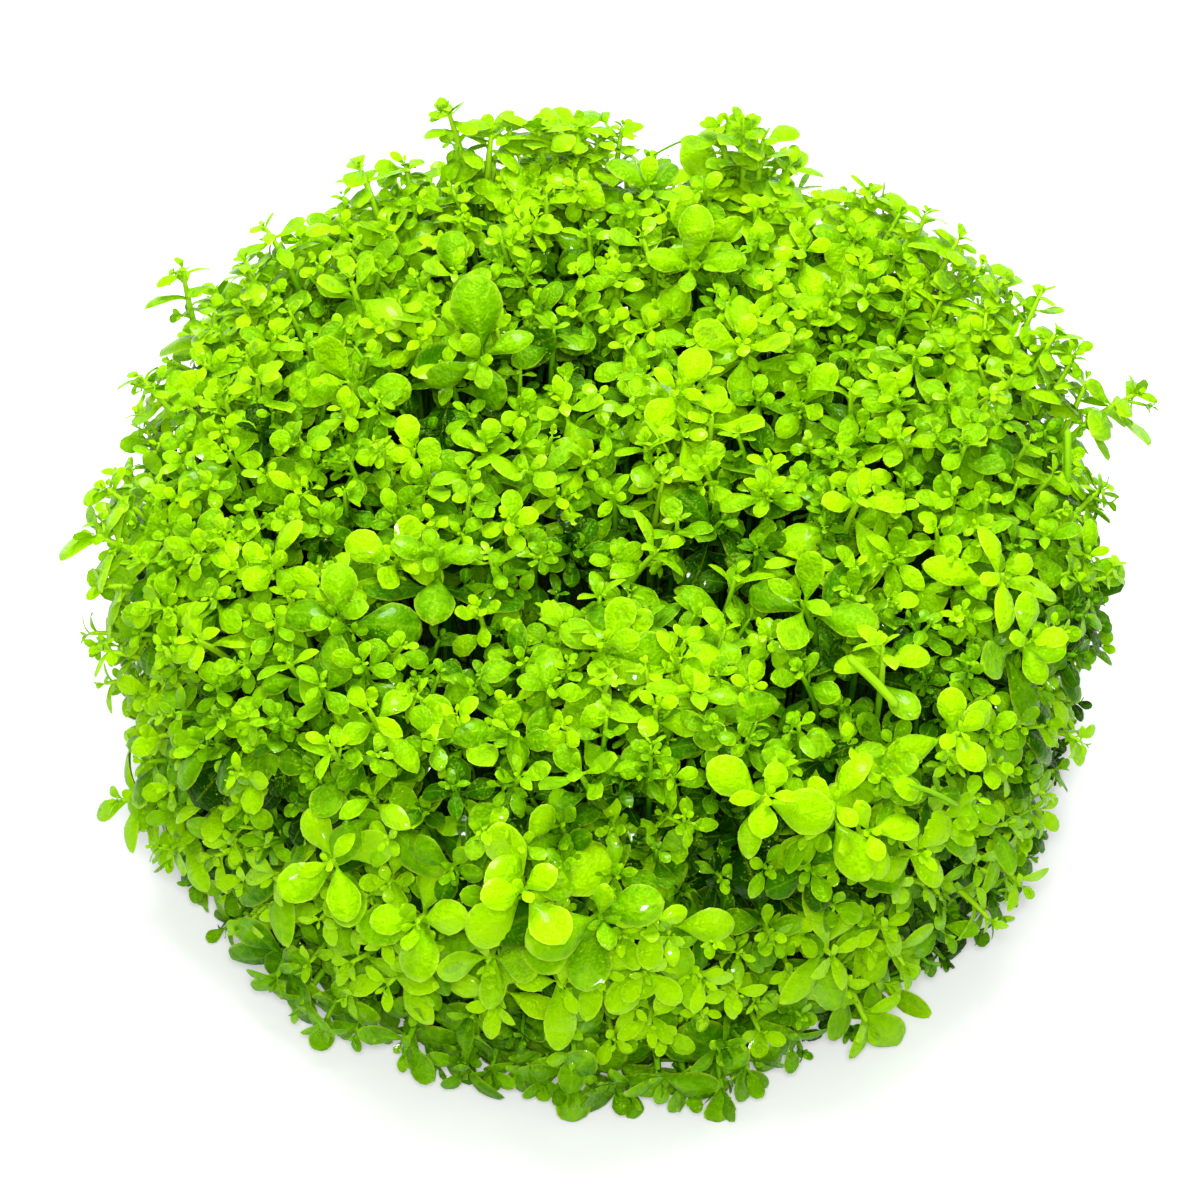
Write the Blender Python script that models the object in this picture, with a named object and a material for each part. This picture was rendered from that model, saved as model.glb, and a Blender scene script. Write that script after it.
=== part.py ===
"""Dwarf baby tears: a low round cushion of small-leaved stems, cut flat at its foot.

Metres, +Z up. The origin is the middle of the flat foot, and -Y is the side shown in front.
"""
import math
import random

import bmesh
import bpy
from mathutils import Vector

MM = 0.001

# Driving sizes of the cushion, in millimetres
FOOT_RADIUS = 30.8      # leafy wall at the surface it stands on
RIM_RADIUS = 32.5       # widest level of the wall
RIM_HEIGHT = 17.0       # height of that level
CROWN_RADIUS = 21.0     # the top starts to round over here
CROWN_HEIGHT = 28.0     # leaf tips on top
LUMP_HEIGHT = 0.7       # rise and fall of the heads of the tufts
LUMP_X, LUMP_Y = 0.33, 0.29     # how fast they rise and fall along X and Y, in radians a millimetre

# The dark parting in front of the centre
PARTING_X, PARTING_Y = 4.0, -11.0
PARTING_LENGTH, PARTING_WIDTH = 8.0, 2.8
PARTING_DEPTH = 5.0

# Foot mat of creeping stems and roots
MAT_RADIUS = 29.3
MAT_HEIGHT = 2.0
MAT_CORNERS = 32
MAT_RINGS = ((0.985, 0.0), (1.0, 0.6), (0.97, 1.0))     # share of the radius, share of the height
MAT_WAVES = ((0.5, 2.4, 0.0), (0.35, 5.1, 1.0))         # depth, turn from corner to corner, start

# Tufts
GAP = 0.35              # clear gap between neighbours
BEYOND = 60.0           # past everything that grows outwards
TUFT_RINGS = (("inner_tuft", 6, 10.0), ("middle_tuft", 10, 19.3))      # name, count, radius of the ring
RIM_RING = 28.4         # radius of the ring of tufts at the rim
RIM_BEARINGS = (8, 26, 46, 65, 82, 101, 126, 149, 170, 189, 208, 231, 254, 278, 301, 324, 346)
SCATTER = 0.9           # how far an inner tuft stands off its regular place
WALL_INSET = 1.1        # a tuft's side behind the leaf tips of the wall
LEAF_HOLLOW = 0.8       # how far a tuft's side goes in between leaves
HOLLOW_SAG = 0.4        # how much lower it is there, as a share of that
CORNERS = 10            # corners round a tuft
APEX_DROP = 1.0         # middle of a head under the leaf tips
SHOULDER_DROP = 2.9     # edge of a head under them
BROW_DROP = 1.6         # half way between the two

# Rings of a tuft's body: height, and the share of the tuft's ground that it fills there. A height is over
# the foot, or under the leaf tips where it is negative.
INSIDE_LEVELS = ((MAT_HEIGHT + GAP, 0.96), (-SHOULDER_DROP, 0.96), (-BROW_DROP, 0.58))
RIM_LEVELS = (
    (MAT_HEIGHT + GAP, 0.97), (7.5, 1.0), (12.5, 1.0), (17.5, 0.99),
    (-SHOULDER_DROP, 0.92), (-BROW_DROP, 0.55),
)

# Leaves
LEAF_LENGTH = 4.0
LEAF_WIDTH = 0.74       # as a share of the length, like all that follow to the bulge
LEAF_THICKNESS = 0.17
LEAF_MIDDLE = 0.6       # where a leaf is thickest
RIM_LIFT = 0.08         # how far its rim stands up
BULGE_UP, BULGE_DOWN = 0.5, 0.8     # how the thickness bulges, as shares of it
LEAF_OUTLINE = ((0.0, 0.0), (0.52, -0.92), (0.93, -0.66), (0.93, 0.66), (0.52, 0.92))    # along, across
LEAF_ROOT = 2.2         # how deep a leaf on a head starts under the leaf tips
HEAD_LEAVES = 4         # in the cross on a head
HEAD_OFFSET = 0.5       # from the middle of a head to the foot of its leaves
HEAD_CLIMB = (22.0, 38.0)
HEAD_SIZES = (0.95, 1.15)
WALL_LEAVES = 3         # on the outer side of a rim tuft
WALL_TOP, WALL_STEP = 20.0, 6.5     # height of the highest and distance to the next
WALL_CLIMB = (-52.0, -36.0)
WALL_APART = 0.24       # how far to each side they stand, as a share of the tuft's width
WALL_ROOT = 1.3         # how deep they start
STEM_RADIUS = 0.42
STEM_SIDES = 3
STEM_TAPER = 0.75       # radius of a stem's end, as a share of its radius

# Sprigs that stick out of the outline: bearing of the foot, its height, heading, climb, length past the
# leafy surface, leaf length. Bearings turn from +X towards +Y.
FREE_SPRIGS = (
    (110, 26.3, 118, 50, 3.9, 2.2),
    (97, 26.5, 92, 55, 2.6, 2.8),
    (69, 26.5, 110, 55, 4.1, 2.6),
    (62, 26.0, 80, 45, 2.4, 3.0),
    (51, 26.0, 75, 45, 2.6, 2.4),
    (25, 24.0, 55, 45, 3.4, 2.2),
    (12, 22.0, 7, 8, 5.3, 2.3),
    (122, 26.0, 115, 45, 2.6, 2.2),
    (146, 26.0, 110, 50, 2.6, 2.2),
    (155, 24.5, 118, 50, 3.6, 2.6),
    (169, 25.0, 125, 35, 3.8, 2.4),
    (189, 22.0, 160, 14, 3.2, 2.4),
    (206, 8.5, 178, 2, 3.4, 2.2),
    (230, 5.5, 248, -32, 3.5, 2.6),
    (275, 3.8, 276, -32, 3.0, 3.0),
    (284, 3.6, 272, -35, 3.4, 2.5),
    (298, 5.5, 300, -32, 3.3, 3.0),
)
SPRIG_ROOT = 3.6        # how deep a free sprig starts in its tuft
SPRIG_APART = 0.13      # from the middle of its stem to the foot of a leaf
LOWER_PAIR = 0.62       # place of its lower pair, as a share of the stem
LOWER_SIZE = 0.85       # leaf of that pair, as a share of one at the tip
TWO_PAIRS_LENGTH, TWO_PAIRS_LEAF = 3.3, 2.5     # a sprig longer than this with smaller leaves has both pairs

# Finishes: colour and roughness
LEAF_GREEN = ((0.27, 0.56, 0.01), 0.38)
STEM_GREEN = ((0.16, 0.30, 0.02), 0.55)


def wall_radius(height):
    """How far the leafy wall reaches at a height."""
    if height < RIM_HEIGHT:
        rise = math.sin(0.5 * math.pi * max(height, 0.0) / RIM_HEIGHT)
        return FOOT_RADIUS + (RIM_RADIUS - FOOT_RADIUS) * rise
    rise = min((height - RIM_HEIGHT) / (CROWN_HEIGHT - RIM_HEIGHT), 1.0)
    return CROWN_RADIUS + (RIM_RADIUS - CROWN_RADIUS) * math.sqrt(1.0 - rise * rise)


def crown_height(x, y):
    """How high the leaf tips stand over a place in plan."""
    reach = math.hypot(x, y)
    over = min(max(reach - CROWN_RADIUS, 0.0) / (RIM_RADIUS - CROWN_RADIUS), 1.0)
    height = RIM_HEIGHT + (CROWN_HEIGHT - RIM_HEIGHT) * math.sqrt(1.0 - over * over)
    height += LUMP_HEIGHT * math.sin(LUMP_X * x + 1.0) * math.cos(LUMP_Y * y - 0.6)
    along = (x - PARTING_X) / PARTING_LENGTH
    across = (y - PARTING_Y) / PARTING_WIDTH
    return height - PARTING_DEPTH * math.exp(-along * along - across * across)


def around(bearing, reach):
    """A place in plan, from its bearing in degrees and its distance from the middle."""
    turn = math.radians(bearing)
    return Vector((reach * math.cos(turn), reach * math.sin(turn)))


def tuft_seats():
    """Name and place in plan of each tuft. Those inside stand a little off their regular places."""
    dice = random.Random(3)
    seats = [("centre_tuft", Vector((0.0, 0.0)))]
    for name, count, reach in TUFT_RINGS:
        for k in range(count):
            off = Vector((dice.uniform(-SCATTER, SCATTER), dice.uniform(-SCATTER, SCATTER)))
            seats.append((f"{name}_{k + 1:02d}", around(360.0 * (k + 0.5) / count, reach) + off))
    for k, bearing in enumerate(RIM_BEARINGS):
        seats.append((f"rim_tuft_{k + 1:02d}", around(bearing, RIM_RING)))
    return seats


def cut_polygon(corners, middle, normal):
    """Keeps the part of a flat polygon that lies behind the line through middle with this normal."""
    kept = []
    for k, corner in enumerate(corners):
        after = corners[(k + 1) % len(corners)]
        here, there = (corner - middle).dot(normal), (after - middle).dot(normal)
        if here <= 0.0:
            kept.append(corner)
        if here * there < 0.0:
            kept.append(corner.lerp(after, here / (here - there)))
    return kept


def ground_of(seat, seats, reach):
    """The ground of a tuft: all within this reach that is nearer to it than to any other tuft."""
    corners = [around(10.0 * k, reach) for k in range(36)]
    for other in seats:
        if other is not seat:
            normal = (other - seat).normalized()
            corners = cut_polygon(corners, (seat + other) / 2.0 - normal * GAP / 2.0, normal)
    return corners


def edge_distance(corners, seat, heading):
    """Distance from a tuft's seat to the edge of its ground along a heading."""
    nearest = 100.0
    for k, corner in enumerate(corners):
        side = corners[(k + 1) % len(corners)] - corner
        facing = heading.x * side.y - heading.y * side.x
        if abs(facing) > 1e-9:
            from_seat = corner - seat
            distance = (from_seat.x * side.y - from_seat.y * side.x) / facing
            along = (from_seat.x * heading.y - from_seat.y * heading.x) / facing
            if distance > 0.0 and -1e-6 <= along <= 1.0 + 1e-6:
                nearest = min(nearest, distance)
    return nearest


def add_ring(bm, points):
    return [bm.verts.new(Vector(point) * MM) for point in points]


def bridge(bm, lower, upper):
    """Side faces between two rings with as many points."""
    for k in range(len(lower)):
        after = (k + 1) % len(lower)
        bm.faces.new((lower[k], lower[after], upper[after], upper[k]))


def head_of(seat, corners):
    """The edge of a tuft's head in plan and its middle."""
    edge = []
    for k in range(CORNERS):
        heading = around(360.0 * (k + 0.5) / CORNERS, 1.0)
        edge.append(seat + heading * edge_distance(corners, seat, heading))
    return edge, sum(edge, Vector((0.0, 0.0))) / CORNERS


def add_tuft_body(bm, edge, middle, on_rim):
    """The bunch of stems: flat foot, upright sides and a domed head, in and out where leaves stand."""
    rings = []
    levels = RIM_LEVELS if on_rim else INSIDE_LEVELS
    for row, (level, share) in enumerate(levels):
        in_and_out = 0 < row < len(levels) - 1
        points = []
        for k, corner in enumerate(edge):
            hollow = LEAF_HOLLOW if in_and_out and (row + k) % 2 else 0.0
            place = middle.lerp(corner, share)
            height = level if level > 0.0 else crown_height(*place) + level
            limit = wall_radius(height) - WALL_INSET
            if place.length > limit:
                place *= limit / place.length
            place += (middle - place).normalized() * hollow
            points.append((place.x, place.y, height - HOLLOW_SAG * hollow))
        rings.append(add_ring(bm, points))
    bm.faces.new(reversed(rings[0]))
    for lower, upper in zip(rings, rings[1:]):
        bridge(bm, lower, upper)
    apex = bm.verts.new(Vector((middle.x, middle.y, crown_height(*middle) - APEX_DROP)) * MM)
    for k in range(len(edge)):
        bm.faces.new((rings[-1][k], rings[-1][(k + 1) % len(edge)], apex))


def add_leaf(twigs, foot, heading, face, length):
    """One spoon-shaped leaf: narrow at its foot, broad and round near its tip, thickest in the middle."""
    bm = bmesh.new()
    heading = heading.normalized()
    side = heading.cross(face).normalized()
    face = side.cross(heading)
    half = length * LEAF_WIDTH / 2.0
    rim = []
    for along, across in LEAF_OUTLINE:
        point = foot + heading * length * along + side * half * across
        rim.append(bm.verts.new((point + face * length * RIM_LIFT * abs(across)) * MM))
    middle = foot + heading * length * LEAF_MIDDLE
    thick = length * LEAF_THICKNESS
    above = bm.verts.new((middle + face * thick * BULGE_UP) * MM)
    below = bm.verts.new((middle - face * thick * BULGE_DOWN) * MM)
    for k in range(len(rim)):
        after = (k + 1) % len(rim)
        bm.faces.new((rim[k], rim[after], above))
        bm.faces.new((rim[after], rim[k], below))
    new_helper(f"{twigs.name} leaf", bm, twigs)


def add_stem(twigs, start, end):
    """A straight three-sided stretch of stem, a little thinner at its end."""
    bm = bmesh.new()
    heading = (end - start).normalized()
    side = heading.orthogonal().normalized()
    turns = [2.0 * math.pi * k / STEM_SIDES for k in range(STEM_SIDES)]
    turned = [side * math.cos(turn) + heading.cross(side) * math.sin(turn) for turn in turns]
    rings = []
    for centre, radius in ((start, STEM_RADIUS), (end, STEM_TAPER * STEM_RADIUS)):
        rings.append(add_ring(bm, [centre + radius * way for way in turned]))
    bridge(bm, rings[0], rings[1])
    bm.faces.new(reversed(rings[0]))
    bm.faces.new(rings[1])
    new_helper(f"{twigs.name} stem", bm, twigs)


def direction(bearing, climb):
    """Unit vector from a bearing and a climb over the horizontal, in degrees."""
    flat = around(bearing, math.cos(math.radians(climb)))
    return Vector((flat.x, flat.y, math.sin(math.radians(climb))))


def add_head_leaves(twigs, middle, dice):
    """A cross of leaves on top of a tuft's head."""
    start = dice.uniform(0.0, 90.0)
    for k in range(HEAD_LEAVES):
        bearing = start + 360.0 * k / HEAD_LEAVES + dice.uniform(-8.0, 8.0)
        place = middle + around(bearing, HEAD_OFFSET)
        foot = Vector((place.x, place.y, crown_height(*middle) - LEAF_ROOT))
        climb = dice.uniform(*HEAD_CLIMB)
        length = LEAF_LENGTH * dice.uniform(*HEAD_SIZES)
        add_leaf(twigs, foot, direction(bearing, climb), direction(bearing, climb + 90.0), length)


def add_wall_leaves(twigs, edge, middle, dice):
    """Leaves that hang on a rim tuft's outer side, from the rim down to the foot."""
    toward = math.degrees(math.atan2(middle.y, middle.x))
    across = Vector((-middle.y, middle.x)).normalized()
    width = max(c.dot(across) for c in edge) - min(c.dot(across) for c in edge)
    apart = WALL_APART * math.degrees(width / middle.length)
    for k in range(WALL_LEAVES):
        height = WALL_TOP - WALL_STEP * k + dice.uniform(-0.8, 0.8)
        bearing = toward + (apart if k % 2 else -apart) + dice.uniform(-1.0, 1.0)
        place = around(bearing, wall_radius(height) - WALL_INSET - WALL_ROOT)
        climb = dice.uniform(*WALL_CLIMB)
        swing = bearing + dice.uniform(-30.0, 30.0)
        foot = Vector((place.x, place.y, height))
        add_leaf(twigs, foot, direction(swing, climb), direction(bearing, climb + 90.0), LEAF_LENGTH)


def add_free_sprig(twigs, middle, sprig):
    """A single stem that sticks out, with a pair of leaves half way and a pair at its tip."""
    bearing, height, heading, climb, length, leaf = sprig
    place = around(bearing, wall_radius(height))
    surface = Vector((place.x, place.y, height))
    inside = Vector((middle.x, middle.y, min(height, crown_height(*middle) - SHOULDER_DROP)))
    foot = surface + (inside - surface).normalized() * SPRIG_ROOT
    tip = surface + direction(heading, climb) * (length - 0.75 * leaf)
    out = (tip - foot).normalized()
    add_stem(twigs, foot, tip)
    side = out.cross(Vector((0.0, 0.0, 1.0))).normalized()
    lift = side.cross(out)
    half_way = foot.lerp(tip, LOWER_PAIR)
    for sign in (1.0, -1.0):
        apart = side * (SPRIG_APART * sign)
        add_leaf(twigs, tip - out * 0.35 + apart, out + side * 0.7 * sign, lift - side * 0.2 * sign, leaf)
        if length > TWO_PAIRS_LENGTH and leaf < TWO_PAIRS_LEAF:
            lean = out * 0.6 + side * 0.35 * sign + lift * 0.5 * sign
            add_leaf(twigs, half_way + apart, lean, lift - side * sign, LOWER_SIZE * leaf)


def owner_of(sprig, seats):
    """The tuft that a free sprig grows from: the one whose seat is nearest the sprig's foot."""
    foot = around(sprig[0], RIM_RING)
    return min(range(len(seats)), key=lambda k: (seats[k] - foot).length)


def material(name, colour, roughness):
    made = bpy.data.materials.new(name)
    made.use_nodes = True
    shader = made.node_tree.nodes["Principled BSDF"]
    shader.inputs["Base Color"].default_value = (*colour, 1.0)
    shader.inputs["Roughness"].default_value = roughness
    shader.inputs["Metallic"].default_value = 0.0
    made.diffuse_color = (*colour, 1.0)
    return made


def new_object(name, bm, finish=None, collection=None):
    bmesh.ops.recalc_face_normals(bm, faces=bm.faces)
    mesh = bpy.data.meshes.new(name)
    bm.to_mesh(mesh)
    bm.free()
    made = bpy.data.objects.new(name, mesh)
    (collection or bpy.context.scene.collection).objects.link(made)
    if finish:
        mesh.materials.append(finish)
        mesh.shade_smooth()
        mesh.set_sharp_from_angle(angle=math.radians(35.0))
    return made


def new_helper(name, bm, collection=None):
    """A shape that only adds to or cuts another one."""
    helper = new_object(name, bm, None, collection)
    helper.hide_render = True
    helper.display_type = "WIRE"
    return helper


def join_twigs(tuft, twigs):
    """Fuses every leaf and stem of a collection to the tuft."""
    step = tuft.modifiers.new("leaves", "BOOLEAN")
    step.operation = "UNION"
    step.solver = "EXACT"
    step.operand_type = "COLLECTION"
    step.collection = twigs


def keep_to_ground(tuft, prism):
    """Cuts off what would stand on a neighbour's ground."""
    step = tuft.modifiers.new("ground", "BOOLEAN")
    step.operation = "INTERSECT"
    step.solver = "EXACT"
    step.object = prism


def ground_prism(name, corners):
    """Everything over a tuft's ground, which nothing of the tuft may leave."""
    bm = bmesh.new()
    low = add_ring(bm, [(c.x, c.y, -5.0) for c in corners])
    high = add_ring(bm, [(c.x, c.y, 50.0) for c in corners])
    bridge(bm, low, high)
    bm.faces.new(reversed(low))
    bm.faces.new(high)
    return new_helper(name, bm)


def make_tuft(index, seats, names, finish):
    """A tuft with its leaves and free sprigs, kept to its own ground."""
    seat, name = seats[index], names[index]
    on_rim = name.startswith("rim")
    within_wall = ground_of(seat, seats, RIM_RADIUS - WALL_INSET)
    edge, middle = head_of(seat, within_wall)
    dice = random.Random(100 + index)
    bm = bmesh.new()
    add_tuft_body(bm, edge, middle, on_rim)
    tuft = new_object(name, bm, finish)
    twigs = bpy.data.collections.new(f"{name} twigs")
    bpy.context.scene.collection.children.link(twigs)
    add_head_leaves(twigs, middle, dice)
    if on_rim:
        add_wall_leaves(twigs, edge, middle, dice)
    for sprig in FREE_SPRIGS:
        if owner_of(sprig, seats) == index:
            add_free_sprig(twigs, middle, sprig)
    join_twigs(tuft, twigs)
    keep_to_ground(tuft, ground_prism(f"{name} ground", ground_of(seat, seats, BEYOND)))


def make_mat(finish):
    """The foot mat: a flat disc of creeping stems, its edge going in and out between them."""
    bm = bmesh.new()
    rings = []
    for share, rise in MAT_RINGS:
        points = []
        for k in range(MAT_CORNERS):
            wave = sum(depth * math.sin(turn * k + start) for depth, turn, start in MAT_WAVES)
            place = around(360.0 * k / MAT_CORNERS, (MAT_RADIUS + wave) * share)
            points.append((place.x, place.y, rise * MAT_HEIGHT))
        rings.append(add_ring(bm, points))
    bm.faces.new(reversed(rings[0]))
    bridge(bm, rings[0], rings[1])
    bridge(bm, rings[1], rings[2])
    bm.faces.new(rings[2])
    new_object("foot_mat", bm, finish)


def main():
    for old in list(bpy.data.objects):
        bpy.data.objects.remove(old, do_unlink=True)
    for old in list(bpy.data.collections):
        bpy.data.collections.remove(old)
    leaf_green = material("leaf green", *LEAF_GREEN)
    stem_green = material("stem green", *STEM_GREEN)
    named_seats = tuft_seats()
    names = [name for name, place in named_seats]
    seats = [place for name, place in named_seats]
    make_mat(stem_green)
    for index in range(len(seats)):
        make_tuft(index, seats, names, leaf_green)


main()
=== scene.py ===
# %% [markdown]
# # Dwarf baby tears, leaf by leaf
# The plant is a low round cushion of a creeping water plant. Hundreds of thin upright stems stand side by
# side, and each carries small spoon-shaped leaves in pairs, every pair turned a quarter against the next.
# From above, a stem's end reads as a little cross round a bud, and the whole cushion is made of such crosses.
#
# The CAD model gives the cushion as tufts on a foot mat. This script keeps its sizes and its tufts, and
# grows the real stems and leaves of each tuft in its place.

import math
import random

import bpy
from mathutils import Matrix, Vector


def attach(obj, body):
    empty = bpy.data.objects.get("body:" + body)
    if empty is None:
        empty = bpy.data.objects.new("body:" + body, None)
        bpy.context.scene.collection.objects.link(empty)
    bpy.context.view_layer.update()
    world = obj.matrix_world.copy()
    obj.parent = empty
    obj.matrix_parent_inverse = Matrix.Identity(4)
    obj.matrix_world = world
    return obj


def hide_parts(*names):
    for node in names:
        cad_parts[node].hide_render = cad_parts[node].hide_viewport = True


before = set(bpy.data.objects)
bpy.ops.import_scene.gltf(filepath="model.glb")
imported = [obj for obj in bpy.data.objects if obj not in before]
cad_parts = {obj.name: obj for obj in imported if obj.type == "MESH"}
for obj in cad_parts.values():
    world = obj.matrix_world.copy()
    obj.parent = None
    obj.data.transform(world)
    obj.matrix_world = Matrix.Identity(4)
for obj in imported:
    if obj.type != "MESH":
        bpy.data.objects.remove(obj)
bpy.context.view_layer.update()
MM = 0.001

# %% [markdown]
# ## The leafy surface
# All leaf tips together make a surface: a flat crown, a round shoulder and a nearly upright wall that is
# pressed in a little at the foot. It could be a mesh, but two short formulas are enough, because a stem only
# needs to know how high or how far out its tip stands. They are the same ones that shape the CAD tufts.

# %% The surface of the leaf tips, in millimetres
UP = Vector((0.0, 0.0, 1.0))
FOOT_RADIUS = 30.8
RIM_RADIUS, RIM_HEIGHT = 32.5, 17.0
CROWN_RADIUS, CROWN_HEIGHT = 21.0, 28.0
LUMP_HEIGHT = 0.7
LUMP_X, LUMP_Y = 0.33, 0.29     # how fast the lumps follow each other, in radians a millimetre
PARTING_X, PARTING_Y = 4.0, -11.0
PARTING_LENGTH, PARTING_WIDTH, PARTING_DEPTH = 8.0, 2.8, 5.0


def wall_radius(height):
    """How far the leafy wall reaches at a height."""
    if height < RIM_HEIGHT:
        rise = math.sin(0.5 * math.pi * max(height, 0.0) / RIM_HEIGHT)
        return FOOT_RADIUS + (RIM_RADIUS - FOOT_RADIUS) * rise
    rise = min((height - RIM_HEIGHT) / (CROWN_HEIGHT - RIM_HEIGHT), 1.0)
    return CROWN_RADIUS + (RIM_RADIUS - CROWN_RADIUS) * math.sqrt(1.0 - rise * rise)


def parting(x, y):
    """1 in the middle of the dark parting, 0 away from it."""
    along = (x - PARTING_X) / PARTING_LENGTH
    across = (y - PARTING_Y) / PARTING_WIDTH
    return math.exp(-along * along - across * across)


def crown_height(x, y):
    """How high the leaf tips stand over a place in plan."""
    over = min(max(math.hypot(x, y) - CROWN_RADIUS, 0.0) / (RIM_RADIUS - CROWN_RADIUS), 1.0)
    height = RIM_HEIGHT + (CROWN_HEIGHT - RIM_HEIGHT) * math.sqrt(1.0 - over * over)
    height += LUMP_HEIGHT * math.sin(LUMP_X * x + 1.0) * math.cos(LUMP_Y * y - 0.6)
    return height - PARTING_DEPTH * parting(x, y)


def around(bearing, reach):
    """A place in plan, from its bearing in degrees and its distance from the middle."""
    turn = math.radians(bearing)
    return Vector((reach * math.cos(turn), reach * math.sin(turn)))


def direction(bearing, climb):
    """Unit vector from a bearing and a climb over the horizontal, in degrees."""
    flat = around(bearing, math.cos(math.radians(climb)))
    return Vector((flat.x, flat.y, math.sin(math.radians(climb))))


def surface_normal(place):
    """Outward direction of the leafy surface near a point."""
    reach = math.hypot(place.x, place.y)
    over = max(reach - CROWN_RADIUS, 0.0) / (RIM_RADIUS - CROWN_RADIUS)
    over = min(over, 1.0) if place.z > RIM_HEIGHT else 1.0
    flat = Vector((place.x, place.y, 0.0)) / max(reach, 0.001)
    lean = over * over
    return (flat * lean + UP * math.sqrt(max(1.0 - lean * lean, 0.0))).normalized()


# %% [markdown]
# ## Which tuft a stem belongs to
# The CAD nodes are tufts in rings: one in the middle, six round it, ten round those and seventeen on the rim.
# Each piece of this scene replaces one of them, so every stem has to go to the tuft that its tip is nearest.

# %% The seats of the tufts
SCATTER = 0.9
RINGS = (("inner_tuft", 6, 10.0), ("middle_tuft", 10, 19.3))       # name, count, radius of the ring
RIM_BEARINGS = (8, 26, 46, 65, 82, 101, 126, 149, 170, 189, 208, 231, 254, 278, 301, 324, 346)
RIM_RING = 28.4


def tuft_seats():
    """Name and place in plan of each tuft, as in the CAD model."""
    dice = random.Random(3)
    seats = [("centre_tuft", Vector((0.0, 0.0)))]
    for name, count, reach in RINGS:
        for k in range(count):
            off = Vector((dice.uniform(-SCATTER, SCATTER), dice.uniform(-SCATTER, SCATTER)))
            seats.append((f"{name}_{k + 1:02d}", around(360.0 * (k + 0.5) / count, reach) + off))
    for k, bearing in enumerate(RIM_BEARINGS):
        seats.append((f"rim_tuft_{k + 1:02d}", around(bearing, RIM_RING)))
    return seats


SEATS = tuft_seats()
print(len(SEATS), "tufts, and", len(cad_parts), "nodes in the frame")


def tuft_of(x, y):
    """Name of the tuft whose seat is nearest."""
    return min(SEATS, key=lambda seat: (seat[1] - Vector((x, y))).length)[0]
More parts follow.
